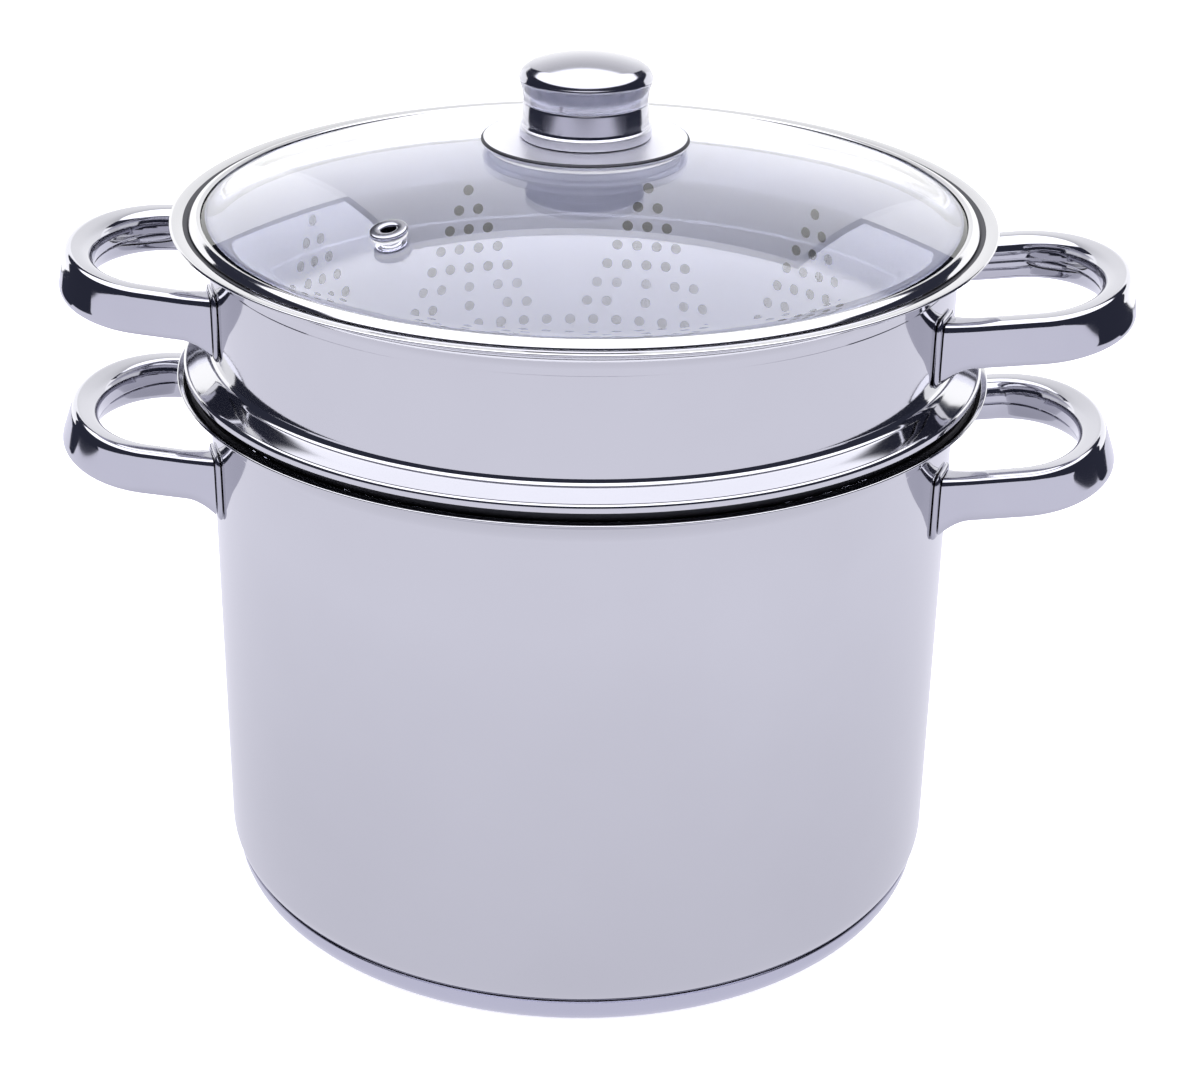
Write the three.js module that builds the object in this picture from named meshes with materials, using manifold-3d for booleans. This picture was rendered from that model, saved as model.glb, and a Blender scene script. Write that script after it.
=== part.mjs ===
// Pasta pot: a tall pot with an encapsulated base, a deep colander that hangs in its flared lip,
// and a domed glass lid with a round knob.
// Millimetres, +Z up. The origin is the centre of the base's rest face, and +X points to the right handles.

import * as THREE from 'three';
import { mergeGeometries, mergeVertices } from 'three/addons/utils/BufferGeometryUtils.js';
import Module from 'manifold-3d';

const wasm = await Module();
wasm.setup();

// Shared sizes
const seatGap = 0.3;             // clearance between pieces that seat on each other
const sheet = 0.8;               // stainless sheet of the pot and the colander
const roundSides = 44;           // facets round the vessels and the lid
const knobSides = 28;            // facets round the knob
const smallSides = 16;           // facets round the fastening and the vent

// Pot
const potRadius = 120;           // outside of the wall
const potHeight = 176.8;         // rest face to the top of the lip
const lipRadius = 9.4;           // quarter-round flare of the pot's lip, outside
const potCornerRadius = 9;       // outside corner between wall and floor

// Encapsulated base
const coreThickness = 5;
const coreInset = 1;             // core edge inside the start of the pot's corner
const capSheet = 0.8;
const capHeight = 9;             // rest face to the cap's upper edge
const capRound = 6;              // radial width of the cap's rounded edge

// Colander
const collarStep = 2;            // collar wall inside the pot's wall line
const basketClearance = 2.2;     // basket wall to the pot's inside
const shoulderInset = 1.9;       // shoulder edge inside the edge of the pot's lip
const hemUnder = 2.6;            // shoulder's base to the underside of its edge
const hemFace = 2.5;             // height of the shoulder's edge
const hemRound = 0.6;            // rounding of the shoulder's edge
const hemOverhang = 3.1;         // shoulder's edge beyond its seat
const seatWidth = 1.6;           // shoulder's seat on the pot's lip
const shoulderFall = 1.9;        // fall of the shoulder's upper face
const collarFillet = 1.2;        // hollow corner between collar wall and shoulder
const innerStep = 3.8;           // foot of the collar wall to the step inside it
const collarHeight = 41.8;       // foot of the collar wall to the top of the rim
const rimFlareWidth = 11;        // radial width of the colander's flared rim, outside
const rimFlareHeight = 9;        // height of the same flare, outside
const basketDepth = 145;         // shoulder's base to the underside of the basket's floor
const basketCornerRadius = 12;
const colanderTurn = -1.6;       // degrees that the colander stands turned on the pot

// Perforation
const holeRadius = 2;
const holeSides = 4;
const groupCount = 11;           // triangular groups of holes round the wall
const groupStart = 16.65;        // degrees from the handle axis to the first group
const holePitch = 7.35;          // along a row
const rowPitch = 7.35;           // between rows
const topRowRise = 0.2;          // shoulder's base to the top row
const topRowCount = 4;           // holes in the top row; each row below is half a pitch wider on each side
const fullRows = 2;              // rows with every hole in place
const openRows = 2;              // rows below them with two holes at each side and one in the middle
const ringCount = 84;            // holes of the closed ring under the groups
const ringStart = 1.73;          // degrees from the handle axis to the ring's first hole
const floorRingPitch = 38;       // between the rings of floor holes
const floorRings = 2;
const floorRingStep = 8;         // holes that each floor ring gains

// Handles
const handleReach = 170.5;       // vessel's axis to the outside of the loop's end
const handleHalfSpacing = 39;    // handle axis to a leg's centre
const handleThickness = 10;      // section across the loop's plane
const handleSectionHeight = 15;
const handleSectionPower = 2.7;  // squareness of the section
const handleSectionSides = 10;
const handleEndPower = 2;        // squareness of the loop's end in plan
const handleBend = 33;           // outside of the loop's end to the start of its bend
const handleSteps = 26;
const handleTilt = 6.3;          // degrees that the loop rises outwards
const potHandleDrop = 28.7;      // top of the pot's lip to the middle of a leg at the wall
const colanderHandleDrop = 26.6; // top of the colander's rim to the middle of a leg at the wall
const footFlare = 4;             // how far a foot spreads down the wall
const footReach = 7;             // length of the spread along the leg
const plateThickness = 1.2;
const plateWidth = 16;           // along the wall
const plateHeight = 22;
const plateLower = 2;            // plate's middle below the leg's middle

// Lid
const glassThickness = 4;
const glassAboveRim = 0.5;       // colander's rim to the top of the glass at its edge
const glassRise = 20.3;          // dome's rise inside the band
const bandInset = 6.4;           // band's outside inside the colander's rim edge
const bandWidth = 2.7;
const bandSheet = 0.5;
const bandRise = 1.2;            // rounding of the band's upper outside edge
const ventDistance = 85.5;       // lid's axis to the steam vent
const ventAngle = -127.3;        // degrees from the lid's own +X
const ventBore = 2.2;
const ventTubeRadius = 3;
const ventFlangeRadius = 5.7;
const ventFlangeHeight = 1.5;
const ventTail = 0.9;            // flange under the glass
const ventTailInset = 1;         // that flange's edge inside the upper one
const ventEdge = 1.4;            // width of the upper flange's rounded edge
const ventMouth = 0.7;           // rounding of the bore's mouth
const ventGasketThickness = 0.8;

// Knob
const discRadius = 32.6;
const discSheet = 1;
const discRim = 2;               // height of the disc's rolled edge
const discAboveGlass = 1.4;      // top of the glass to the disc's underside
const discHub = 1.1;             // disc's underside to the seat of the knob
const discHubRadius = 19.5;
const gasketUpperInner = 18;
const neckRadius = 20.6;
const waistRadius = 19.5;
const neckHeight = 10.8;
const neckFoot = 2.4;            // knob's seat to the widest part of the neck
const neckEdge = 0.6;            // rounding of the neck's lower edge
const capRadius = 20.8;
const capSide = 6.8;             // joint line to the widest part of the cap
const capShoulder = 4.2;         // widest part to the edge of the cap's top
const capTopRadius = 17.6;
const capCrown = 3;              // rise of the cap's domed top
const capRounding = 1.8;         // rounding under the edge of the cap's top
const capSwell = 0.3;            // how far the cap's side bows at half height
const knobSheet = 0.8;
const screwRadius = 2.5;
const screwClearance = 0.4;      // round the screw in every piece that it passes
const screwGrip = 11;            // screw's length inside the knob
const screwHeadRadius = 5.2;
const screwHeadHeight = 3;
const screwPoint = 0.8;          // chamfer at the screw's end
const washerRadius = 10;
const washerThickness = 1.2;
const gasketLowerThickness = 1;

// Sizes that follow
const rad = Math.PI / 180;
const lipStart = potHeight - lipRadius - sheet;
const lipEdge = potRadius + lipRadius;
const floorUnder = capSheet + coreThickness + 2 * seatGap;
const floorTop = floorUnder + sheet;
const collarRadius = potRadius - collarStep;
const basketRadius = potRadius - sheet - basketClearance;
const shoulderRadius = lipEdge - shoulderInset;
const rimRadius = collarRadius + rimFlareWidth;

// Height of the lip's upper face at a radius: a quarter circle about a centre outside the wall.
function lipHeight(radius) {
  const across = lipEdge - radius;
  return lipStart + Math.sqrt((lipRadius + sheet) ** 2 - across ** 2);
}

// The shoulder's base is the height of the lip under the shoulder's edge, plus the clearance.
const shoulderBase = lipHeight(shoulderRadius - hemRound) + seatGap;
const hemLow = shoulderBase + hemUnder;
const hemTop = hemLow + hemFace;
const slopeTop = hemTop + shoulderFall;
const collarFoot = slopeTop + collarFillet;
const rimTop = collarFoot + collarHeight;
const flareStart = rimTop - sheet - rimFlareHeight;
const basketUnder = shoulderBase - basketDepth;

// Height of the flared rim's upper face at a radius: a quarter ellipse about a centre outside the wall.
function flareHeight(radius) {
  const across = (rimRadius - radius) / (rimFlareWidth + sheet);
  return flareStart + (rimFlareHeight + sheet) * Math.sqrt(1 - across ** 2);
}

const bandRadius = rimRadius - bandInset;
const bandInner = bandRadius - bandWidth;
const glassRadius = bandRadius - bandSheet - 2 * seatGap;
const glassEdgeTop = rimTop + glassAboveRim;
const glassApex = glassEdgeTop + glassRise;
const domeRadius = (bandInner ** 2 + glassRise ** 2) / (2 * glassRise);

// Height of the glass's upper face at a radius: a ball's cap through the apex and the band's inner edge.
function domeHeight(radius) {
  return glassApex - domeRadius + Math.sqrt(domeRadius ** 2 - radius ** 2);
}

const discUnder = glassApex + discAboveGlass;
const knobSeat = discUnder + discHub + seatGap;
const knobJoint = knobSeat + neckHeight;
const capStart = knobJoint + seatGap;
const capWidest = capStart + capSide;
const capTopEdge = capWidest + capShoulder;
const knobTop = capTopEdge + capCrown;
const screwHole = screwRadius + screwClearance;

// Looks
const steelLook = { color: 0xc9c9d2, roughness: 0.12, metalness: 1 };
const plateLook = { color: 0xb6b6c2, roughness: 0.2, metalness: 1 };
const capLook = { color: 0xb9bac8, roughness: 0.22, metalness: 1 };
const aluminiumLook = { color: 0xb4b6b8, roughness: 0.45, metalness: 1 };
const zincLook = { color: 0xa9abb0, roughness: 0.35, metalness: 1 };
const siliconeLook = { color: 0xe4e4e8, roughness: 0.7, metalness: 0 };
const coreLook = { color: 0x1c1c1e, roughness: 0.6, metalness: 0 };
const glassLook = { color: 0xe6e8f2, roughness: 0.03, metalness: 0, transparent: true, opacity: 0.35 };

// Points of an arc of an ellipse, from one angle to another, in degrees.
function arc(centreR, centreZ, spanR, spanZ, from, to, steps) {
  const points = [];
  for (let i = 0; i <= steps; i += 1) {
    const angle = (from + ((to - from) * i) / steps) * rad;
    points.push([centreR + spanR * Math.cos(angle), centreZ + spanZ * Math.sin(angle)]);
  }
  return points;
}

// A closed mesh with shared corners, no slivers of no area, and its faces outwards.
function closed(geometry) {
  const bare = new THREE.BufferGeometry();
  bare.setAttribute('position', geometry.getAttribute('position').clone());
  if (geometry.index) bare.setIndex(geometry.index.clone());
  const merged = mergeVertices(bare, 1e-4);
  const source = merged.index.array;
  const place = merged.getAttribute('position');
  const corners = [new THREE.Vector3(), new THREE.Vector3(), new THREE.Vector3()];
  const kept = [];
  let volume = 0;
  for (let i = 0; i < source.length; i += 3) {
    const [a, b, c] = [source[i], source[i + 1], source[i + 2]];
    if (a !== b && b !== c && c !== a) {
      kept.push(a, b, c);
      [a, b, c].forEach((index, k) => corners[k].fromBufferAttribute(place, index));
      volume += corners[0].dot(corners[1].clone().cross(corners[2]));
    }
  }
  if (volume < 0) {
    for (let i = 0; i < kept.length; i += 3) {
      [kept[i + 1], kept[i + 2]] = [kept[i + 2], kept[i + 1]];
    }
  }
  merged.setIndex(kept);
  return merged;
}

// A turned piece: radius and height pairs, about the vertical axis.
function turned(profile, sides) {
  const points = profile.map(([radius, height]) => new THREE.Vector2(Math.max(radius, 0), height));
  const geometry = new THREE.LatheGeometry(points, sides);
  geometry.rotateX(Math.PI / 2);
  return closed(geometry);
}

// A turned ring, whose profile closes on itself clear of the axis.
function turnedRing(profile, sides) {
  return turned([...profile, profile[0]], sides);
}

function toSolid(geometry) {
  const mesh = closed(geometry);
  return new wasm.Manifold(new wasm.Mesh({
    numProp: 3,
    vertProperties: new Float32Array(mesh.getAttribute('position').array),
    triVerts: new Uint32Array(mesh.index.array),
  }));
}

function toGeometry(solid) {
  const mesh = solid.getMesh();
  const geometry = new THREE.BufferGeometry();
  geometry.setAttribute('position', new THREE.BufferAttribute(new Float32Array(mesh.vertProperties), 3));
  geometry.setIndex(new THREE.BufferAttribute(new Uint32Array(mesh.triVerts), 1));
  return geometry;
}

function cut(geometry, tool) {
  return toGeometry(toSolid(geometry).subtract(toSolid(tool)));
}

function upright(radius, height, sides) {
  return new THREE.CylinderGeometry(radius, radius, height, sides).rotateX(Math.PI / 2);
}

function piece(name, geometry, look) {
  const mesh = new THREE.Mesh(geometry, new THREE.MeshStandardMaterial(look));
  mesh.name = name;
  return mesh;
}

// Pot: floor, rounded corner, wall and quarter-round lip, with the same sheet all over.
function potShell() {
  const cornerR = potRadius - potCornerRadius;
  const cornerZ = floorUnder + potCornerRadius;
  const innerCorner = potCornerRadius - sheet;
  const innerLip = lipRadius + sheet;
  return turned([
    [0, floorUnder],
    ...arc(cornerR, cornerZ, potCornerRadius, potCornerRadius, -90, 0, 3),
    ...arc(lipEdge, lipStart, lipRadius, lipRadius, 180, 90, 4),
    ...arc(lipEdge, lipStart, innerLip, innerLip, 90, 180, 4),
    ...arc(cornerR, cornerZ, innerCorner, innerCorner, 0, -90, 3),
    [0, floorTop],
  ], roundSides);
}

function baseCoreDisc() {
  const radius = potRadius - potCornerRadius - coreInset;
  return upright(radius, coreThickness, roundSides)
    .translate(0, 0, capSheet + seatGap + coreThickness / 2);
}

// Base cap: its upper edge hugs the pot's rounded corner.
function baseCap() {
  const down = floorUnder + potCornerRadius - capHeight;
  const cornerAtEdge = potRadius - potCornerRadius + Math.sqrt(potCornerRadius ** 2 - down ** 2);
  const edge = cornerAtEdge + seatGap + capSheet;
  const flat = edge - capRound;
  return turned([
    [0, 0],
    ...arc(flat, capHeight, capRound, capHeight, -90, 0, 4),
    ...arc(flat, capHeight, capRound - capSheet, capHeight - capSheet, 0, -90, 4),
    [0, capSheet],
  ], roundSides);
}

// Colander shell: rim, collar, folded shoulder, basket wall and floor.
function colanderBlank() {
  const cornerR = basketRadius - basketCornerRadius;
  const cornerZ = basketUnder + basketCornerRadius;
  const innerCorner = basketCornerRadius - sheet;
  const seatOuter = shoulderRadius - hemOverhang;
  const seatInner = seatOuter - seatWidth;
  const stepTop = collarFoot + innerStep;
  return turned([
    [0, basketUnder],
    ...arc(cornerR, cornerZ, basketCornerRadius, basketCornerRadius, -90, 0, 3),
    [basketRadius, hemLow],
    [seatInner - sheet, hemLow],
    [seatInner, lipHeight(seatInner) + seatGap],
    [seatOuter, lipHeight(seatOuter) + seatGap],
    [seatOuter, hemLow],
    [shoulderRadius - hemRound, hemLow],
    [shoulderRadius, hemLow + hemRound],
    [shoulderRadius, hemTop - hemRound],
    [shoulderRadius - hemRound, hemTop],
    [collarRadius + collarFillet, slopeTop],
    [collarRadius, collarFoot],
    ...arc(rimRadius, flareStart, rimFlareWidth, rimFlareHeight, 180, 90, 4),
    ...arc(rimRadius, flareStart, rimFlareWidth + sheet, rimFlareHeight + sheet, 90, 180, 4),
    [collarRadius - sheet, stepTop],
    [basketRadius - sheet, stepTop - collarFillet],
    ...arc(cornerR, cornerZ, innerCorner, innerCorner, 0, -90, 3),
    [0, basketUnder + sheet],
  ], roundSides);
}

// Places of one group's holes, in pitches from its middle and rows from its top.
function groupPlaces() {
  const places = [];
  for (let row = 0; row < fullRows + openRows; row += 1) {
    const half = (topRowCount - 1 + row) / 2;
    if (row < fullRows) {
      for (let i = 0; i < topRowCount + row; i += 1) places.push([i - half, row]);
    } else {
      [-half, 1 - half, 0, half - 1, half].forEach((place) => places.push([place, row]));
    }
  }
  return places;
}

function wallHoleTools() {
  const length = 6 * sheet;
  const middle = basketRadius - sheet / 2;
  const topRow = shoulderBase + topRowRise;
  const tools = [];
  const drill = (angle, height) => {
    const tool = new THREE.CylinderGeometry(holeRadius, holeRadius, length, holeSides);
    tool.rotateZ(-Math.PI / 2);
    tool.translate(middle, 0, height);
    tools.push(tool.rotateZ(angle));
  };
  const places = groupPlaces();
  const groupAngle = 360 / groupCount;
  for (let group = 0; group < groupCount; group += 1) {
    const centre = (groupStart + group * groupAngle) * rad;
    places.forEach(([place, row]) => {
      drill(centre + (place * holePitch) / basketRadius, topRow - row * rowPitch);
    });
  }
  const ringHeight = topRow - (fullRows + openRows) * rowPitch;
  for (let i = 0; i < ringCount; i += 1) {
    drill((ringStart + (i / ringCount) * 360) * rad, ringHeight);
  }
  return tools;
}

function floorHoleTools() {
  const length = 6 * sheet;
  const height = basketUnder + sheet / 2;
  const tools = [upright(holeRadius, length, holeSides).translate(0, 0, height)];
  for (let ring = 1; ring <= floorRings; ring += 1) {
    const count = ring * floorRingStep;
    for (let i = 0; i < count; i += 1) {
      const tool = upright(holeRadius, length, holeSides);
      tool.translate(ring * floorRingPitch, 0, height);
      tools.push(tool.rotateZ((i / count) * 360 * rad));
    }
  }
  return tools;
}

function colanderShell() {
  const tools = [...wallHoleTools(), ...floorHoleTools()];
  return cut(colanderBlank(), mergeGeometries(tools));
}

// The loop's centre line in plan: a leg, a squarish half oval, and the other leg.
class HandleLoop extends THREE.Curve {
  constructor(wallRadius) {
    super();
    this.inside = wallRadius - handleHalfSpacing / 2;
    this.legEnd = handleReach - handleBend;
    this.tip = handleReach - handleThickness / 2;
  }

  getPoint(t, target = new THREE.Vector3()) {
    const legShare = 0.25;
    const legPart = Math.min(t, 1 - t) / legShare;
    if (legPart < 1) {
      const x = this.inside + (this.legEnd - this.inside) * legPart;
      return target.set(x, t < 0.5 ? -handleHalfSpacing : handleHalfSpacing, 0);
    }
    const turn = ((t - legShare) / (1 - 2 * legShare)) * Math.PI;
    const power = 2 / handleEndPower;
    const out = Math.abs(Math.sin(turn)) ** power;
    const side = -Math.sign(Math.cos(turn)) * Math.abs(Math.cos(turn)) ** power;
    return target.set(this.legEnd + (this.tip - this.legEnd) * out, handleHalfSpacing * side, 0);
  }
}

function handleSection() {
  const points = [];
  const power = 2 / handleSectionPower;
  for (let i = 0; i < handleSectionSides; i += 1) {
    const angle = ((i + 0.5) / handleSectionSides) * 2 * Math.PI;
    const up = Math.sign(Math.cos(angle)) * Math.abs(Math.cos(angle)) ** power;
    const across = Math.sign(Math.sin(angle)) * Math.abs(Math.sin(angle)) ** power;
    points.push(new THREE.Vector2((up * handleSectionHeight) / 2, (across * handleThickness) / 2));
  }
  return new THREE.Shape(points);
}

// The spread of a foot down the wall: a hollow-sided wedge under the leg's end.
function footWedge(wallRadius, side) {
  const under = -handleSectionHeight / 2;
  const start = wallRadius - handleHalfSpacing / 2;
  const end = wallRadius * Math.cos(Math.asin(handleHalfSpacing / wallRadius)) + footReach;
  const outline = new THREE.Shape();
  outline.moveTo(start, under + handleSectionHeight / 3);
  outline.lineTo(end, under + handleSectionHeight / 3);
  outline.lineTo(end, under + 0.4);
  outline.quadraticCurveTo(end - footReach * 0.75, under, end - footReach, under - footFlare);
  outline.lineTo(start, under - footFlare);
  const wedge = new THREE.ExtrudeGeometry(outline, {
    depth: handleThickness * 0.7,
    bevelEnabled: false,
    curveSegments: 4,
  });
  wedge.rotateX(Math.PI / 2);
  wedge.translate(0, side * handleHalfSpacing + handleThickness * 0.35, 0);
  return wedge;
}

function handle(wallRadius) {
  const loop = new THREE.ExtrudeGeometry(handleSection(), {
    steps: handleSteps,
    extrudePath: new HandleLoop(wallRadius),
    bevelEnabled: false,
  });
  let solid = toSolid(loop);
  [-1, 1].forEach((side) => {
    solid = solid.add(toSolid(footWedge(wallRadius, side)));
  });
  const tilted = toGeometry(solid);
  tilted.translate(-wallRadius, 0, 0);
  tilted.rotateY(-handleTilt * rad);
  tilted.translate(wallRadius, 0, 0);
  const seat = wallRadius + plateThickness + 2 * seatGap;
  return cut(tilted, upright(seat, 6 * handleSectionHeight, 4 * roundSides));
}

// A plate is a short arc of ring round the wall.
function handlePlate(wallRadius) {
  const inner = wallRadius + seatGap;
  const outer = inner + plateThickness;
  const half = plateWidth / 2 / wallRadius;
  const outline = new THREE.Shape();
  outline.absarc(0, 0, outer, -half, half, false);
  outline.absarc(0, 0, inner, half, -half, true);
  const plate = new THREE.ExtrudeGeometry(outline, {
    depth: plateHeight,
    bevelEnabled: false,
    curveSegments: 2,
  });
  return closed(plate.translate(0, 0, -plateHeight / 2 - plateLower));
}

// Both handles of a vessel with their plates, at the height of the legs' middle.
function handles(vessel, wallRadius, height) {
  const group = new THREE.Group();
  group.position.z = height;
  const legAngle = Math.asin(handleHalfSpacing / wallRadius);
  [['right', 0], ['left', Math.PI]].forEach(([side, turn]) => {
    const pair = new THREE.Group();
    pair.rotation.z = turn;
    pair.add(piece(`${vessel}_handle_${side}`, handle(wallRadius), steelLook));
    const nearFirst = turn === 0 ? ['front', 'rear'] : ['rear', 'front'];
    nearFirst.forEach((place, i) => {
      const plate = piece(`${vessel}_handle_plate_${side}_${place}`, handlePlate(wallRadius), plateLook);
      plate.rotation.z = i === 0 ? -legAngle : legAngle;
      pair.add(plate);
    });
    group.add(pair);
  });
  return group;
}

// Lid glass: a domed disc with a rounded edge that stays clear of the band, and a hole for the screw.
function lidGlassBlank() {
  const fromEdge = [0, 0.07, 0.25, 0.5, 0.75];
  const upper = fromEdge.map((share) => {
    const radius = (1 - share) * glassRadius;
    return [radius, domeHeight(radius)];
  });
  const lower = fromEdge.slice(1).map((share) => {
    const radius = (1 - share) * glassRadius;
    return [radius, domeHeight(radius) - glassThickness];
  });
  const edgeUnder = flareHeight(glassRadius) + bandSheet + 2 * seatGap;
  return turnedRing([
    [screwHole, domeHeight(screwHole)],
    [screwHole, domeHeight(screwHole) - glassThickness],
    ...lower.reverse(),
    [bandInner - seatGap, flareHeight(bandInner - seatGap) + bandSheet + 2 * seatGap],
    [glassRadius, edgeUnder],
    ...upper,
  ], roundSides);
}

// The vent stands square to the dome.
function ventFrame() {
  const frame = new THREE.Group();
  const angle = ventAngle * rad;
  const slope = Math.asin(ventDistance / domeRadius);
  frame.position.x = ventDistance * Math.cos(angle);
  frame.position.y = ventDistance * Math.sin(angle);
  frame.position.z = domeHeight(ventDistance);
  frame.rotation.order = 'ZYX';
  frame.rotation.z = angle;
  frame.rotation.y = slope;
  return frame;
}

function lidGlass() {
  const frame = ventFrame();
  frame.updateMatrixWorld(true);
  const drill = upright(ventTubeRadius + seatGap, 6 * glassThickness, smallSides);
  return cut(lidGlassBlank(), drill.applyMatrix4(frame.matrixWorld));
}

// Band: a folded strip whose underside follows the colander's flare and whose channel holds the glass.
function lidRimBand() {
  const radii = [bandInner, (bandInner + bandRadius) / 2, bandRadius];
  const under = radii.map((radius) => [radius, flareHeight(radius) + seatGap]);
  const channel = bandRadius - bandSheet;
  const top = (radius) => domeHeight(radius) + seatGap;
  return turnedRing([
    ...under,
    [bandRadius, top(bandRadius) - bandRise / 2],
    [channel, top(channel) + bandSheet / 2],
    [bandInner, top(bandInner) + bandSheet],
    [bandInner, top(bandInner)],
    [glassRadius, top(glassRadius)],
    [channel, top(channel) - bandRise / 2],
    [channel, flareHeight(channel) + seatGap + bandSheet],
    [bandInner, flareHeight(bandInner) + seatGap + bandSheet],
  ], roundSides);
}

// Eyelet: a tube through the glass with a rounded flange on top and a thin one under the glass.
function ventEyelet() {
  const seat = ventGasketThickness + 2 * seatGap;
  const under = -glassThickness - seatGap;
  return turnedRing([
    [ventBore, under - ventTail],
    [ventFlangeRadius - ventTailInset, under - ventTail],
    [ventFlangeRadius - ventTailInset, under],
    [ventTubeRadius, under],
    [ventTubeRadius, seat],
    [ventFlangeRadius, seat],
    [ventFlangeRadius - ventEdge / 4, seat + ventFlangeHeight * 0.7],
    [ventFlangeRadius - ventEdge, seat + ventFlangeHeight],
    [ventBore + ventMouth, seat + ventFlangeHeight],
    [ventBore, seat + ventFlangeHeight - ventMouth],
  ], smallSides);
}

function ventGasket() {
  const inner = ventTubeRadius + seatGap;
  const outer = ventFlangeRadius - seatGap;
  return turnedRing([
    [inner, seatGap],
    [outer, seatGap],
    [outer, seatGap + ventGasketThickness],
    [inner, seatGap + ventGasketThickness],
  ], smallSides);
}

// Base disc: a shallow dish with a rolled edge, and a raised seat for the knob.
function knobBaseDisc() {
  const rolled = discUnder + discSheet - discRim;
  const half = discRim / 2;
  const wall = discRadius - half;
  return turnedRing([
    [screwHole, discUnder],
    [wall - half / 2, discUnder],
    [wall - half / 2, rolled],
    ...arc(wall, rolled + half, half, half, -90, 90, 4),
    [discHubRadius + discSheet, discUnder + (discSheet + discHub) / 2],
    [discHubRadius, discUnder + discHub],
    [screwHole, discUnder + discHub],
  ], knobSides);
}

// Upper gasket: it fills the dish between the disc and the dome.
function knobGasketUpper() {
  const outer = discRadius - discRim;
  const top = discUnder - seatGap;
  return turnedRing([
    [gasketUpperInner, domeHeight(gasketUpperInner) + seatGap],
    [outer - seatGap, domeHeight(outer - seatGap) + seatGap],
    [outer - seatGap, top],
    [gasketUpperInner, top],
  ], smallSides);
}

function knobNeck() {
  const swell = neckRadius - waistRadius;
  const foot = knobSeat + neckFoot;
  return turnedRing([
    [waistRadius - knobSheet, knobSeat],
    [neckRadius - neckEdge, knobSeat + neckEdge / 2],
    [neckRadius, foot],
    ...arc(neckRadius, knobJoint, swell, knobJoint - foot, 240, 180, 3),
    [waistRadius - knobSheet, knobJoint],
    ...arc(neckRadius - knobSheet, knobJoint, swell, knobJoint - foot, 180, 240, 3),
    [neckRadius - knobSheet, foot],
    [waistRadius - knobSheet, knobSeat + knobSheet],
  ], knobSides);
}

function knobCap() {
  const innerTop = capTopRadius - knobSheet / 2;
  const crown = (radius, top) => [radius, top + capCrown * (1 - (radius / capTopRadius) ** 2)];
  return turned([
    [0, knobTop - knobSheet],
    crown(capTopRadius / 2, capTopEdge - knobSheet),
    crown(innerTop, capTopEdge - knobSheet),
    [capRadius - capRounding - knobSheet / 2, capTopEdge - capRounding - knobSheet / 2],
    [capRadius - knobSheet, capWidest],
    [waistRadius + capSwell - knobSheet, capStart + capSide / 2],
    [waistRadius - knobSheet, capStart],
    [waistRadius, capStart],
    [waistRadius + capSwell, capStart + capSide / 2],
    [capRadius, capWidest],
    [capRadius - capSwell, capWidest + capShoulder / 3],
    [capRadius - capRounding * 0.7, capTopEdge - capRounding],
    crown(capTopRadius, capTopEdge),
    crown(capTopRadius / 2, capTopEdge),
    [0, knobTop],
  ], knobSides);
}

// Core: a moulded plug with a blind hole for the screw.
function knobCore() {
  const radius = waistRadius - knobSheet - seatGap;
  const top = capTopEdge - knobSheet - 2 * seatGap;
  return turned([
    [0, knobSeat + screwGrip + screwClearance],
    [screwHole, knobSeat + screwGrip + screwClearance],
    [screwHole, knobSeat],
    [radius, knobSeat],
    [radius, capWidest],
    [capTopRadius - capRounding, top],
    [0, top],
  ], smallSides);
}

const gasketLowerTop = domeHeight(washerRadius) - glassThickness - seatGap;
const washerTop = gasketLowerTop - gasketLowerThickness - seatGap;
const screwHeadTop = washerTop - washerThickness - seatGap;

function flatRing(inner, outer, top, thickness) {
  return turnedRing([
    [inner, top - thickness],
    [outer, top - thickness],
    [outer, top],
    [inner, top],
  ], smallSides);
}

function knobScrew() {
  const tip = knobSeat + screwGrip;
  const under = screwHeadTop - screwHeadHeight;
  return turned([
    [0, under],
    [screwHeadRadius * 0.7, under],
    [screwHeadRadius, under + screwHeadHeight / 2],
    [screwHeadRadius, screwHeadTop],
    [screwRadius, screwHeadTop],
    [screwRadius, tip - screwPoint],
    [screwRadius - screwPoint, tip],
    [0, tip],
  ], smallSides);
}

// Assembly
const pastaPot = new THREE.Group();

const pot = new THREE.Group();
pot.add(piece('pot_shell', potShell(), steelLook));
pot.add(piece('base_core_disc', baseCoreDisc(), aluminiumLook));
pot.add(piece('base_cap', baseCap(), capLook));
pot.add(handles('pot', potRadius, potHeight - potHandleDrop));
pastaPot.add(pot);

const colander = new THREE.Group();
colander.rotation.z = colanderTurn * rad;
colander.add(piece('colander_shell', colanderShell(), steelLook));
colander.add(handles('colander', collarRadius, rimTop - colanderHandleDrop));
pastaPot.add(colander);

const lid = new THREE.Group();
lid.rotation.z = colanderTurn * rad;
lid.add(piece('lid_glass', lidGlass(), glassLook));
lid.add(piece('lid_rim_band', lidRimBand(), steelLook));
const vent = ventFrame();
vent.add(piece('vent_eyelet', ventEyelet(), steelLook));
vent.add(piece('vent_gasket', ventGasket(), siliconeLook));
lid.add(vent);
lid.add(piece('knob_base_disc', knobBaseDisc(), steelLook));
lid.add(piece('knob_gasket_upper', knobGasketUpper(), siliconeLook));
lid.add(piece('knob_neck', knobNeck(), steelLook));
lid.add(piece('knob_cap', knobCap(), steelLook));
lid.add(piece('knob_core', knobCore(), coreLook));
const gasketLower = flatRing(screwHole, washerRadius, gasketLowerTop, gasketLowerThickness);
lid.add(piece('knob_gasket_lower', gasketLower, siliconeLook));
lid.add(piece('screw_washer', flatRing(screwHole, washerRadius, washerTop, washerThickness), zincLook));
lid.add(piece('knob_screw', knobScrew(), zincLook));
pastaPot.add(lid);

export default pastaPot;
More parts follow.
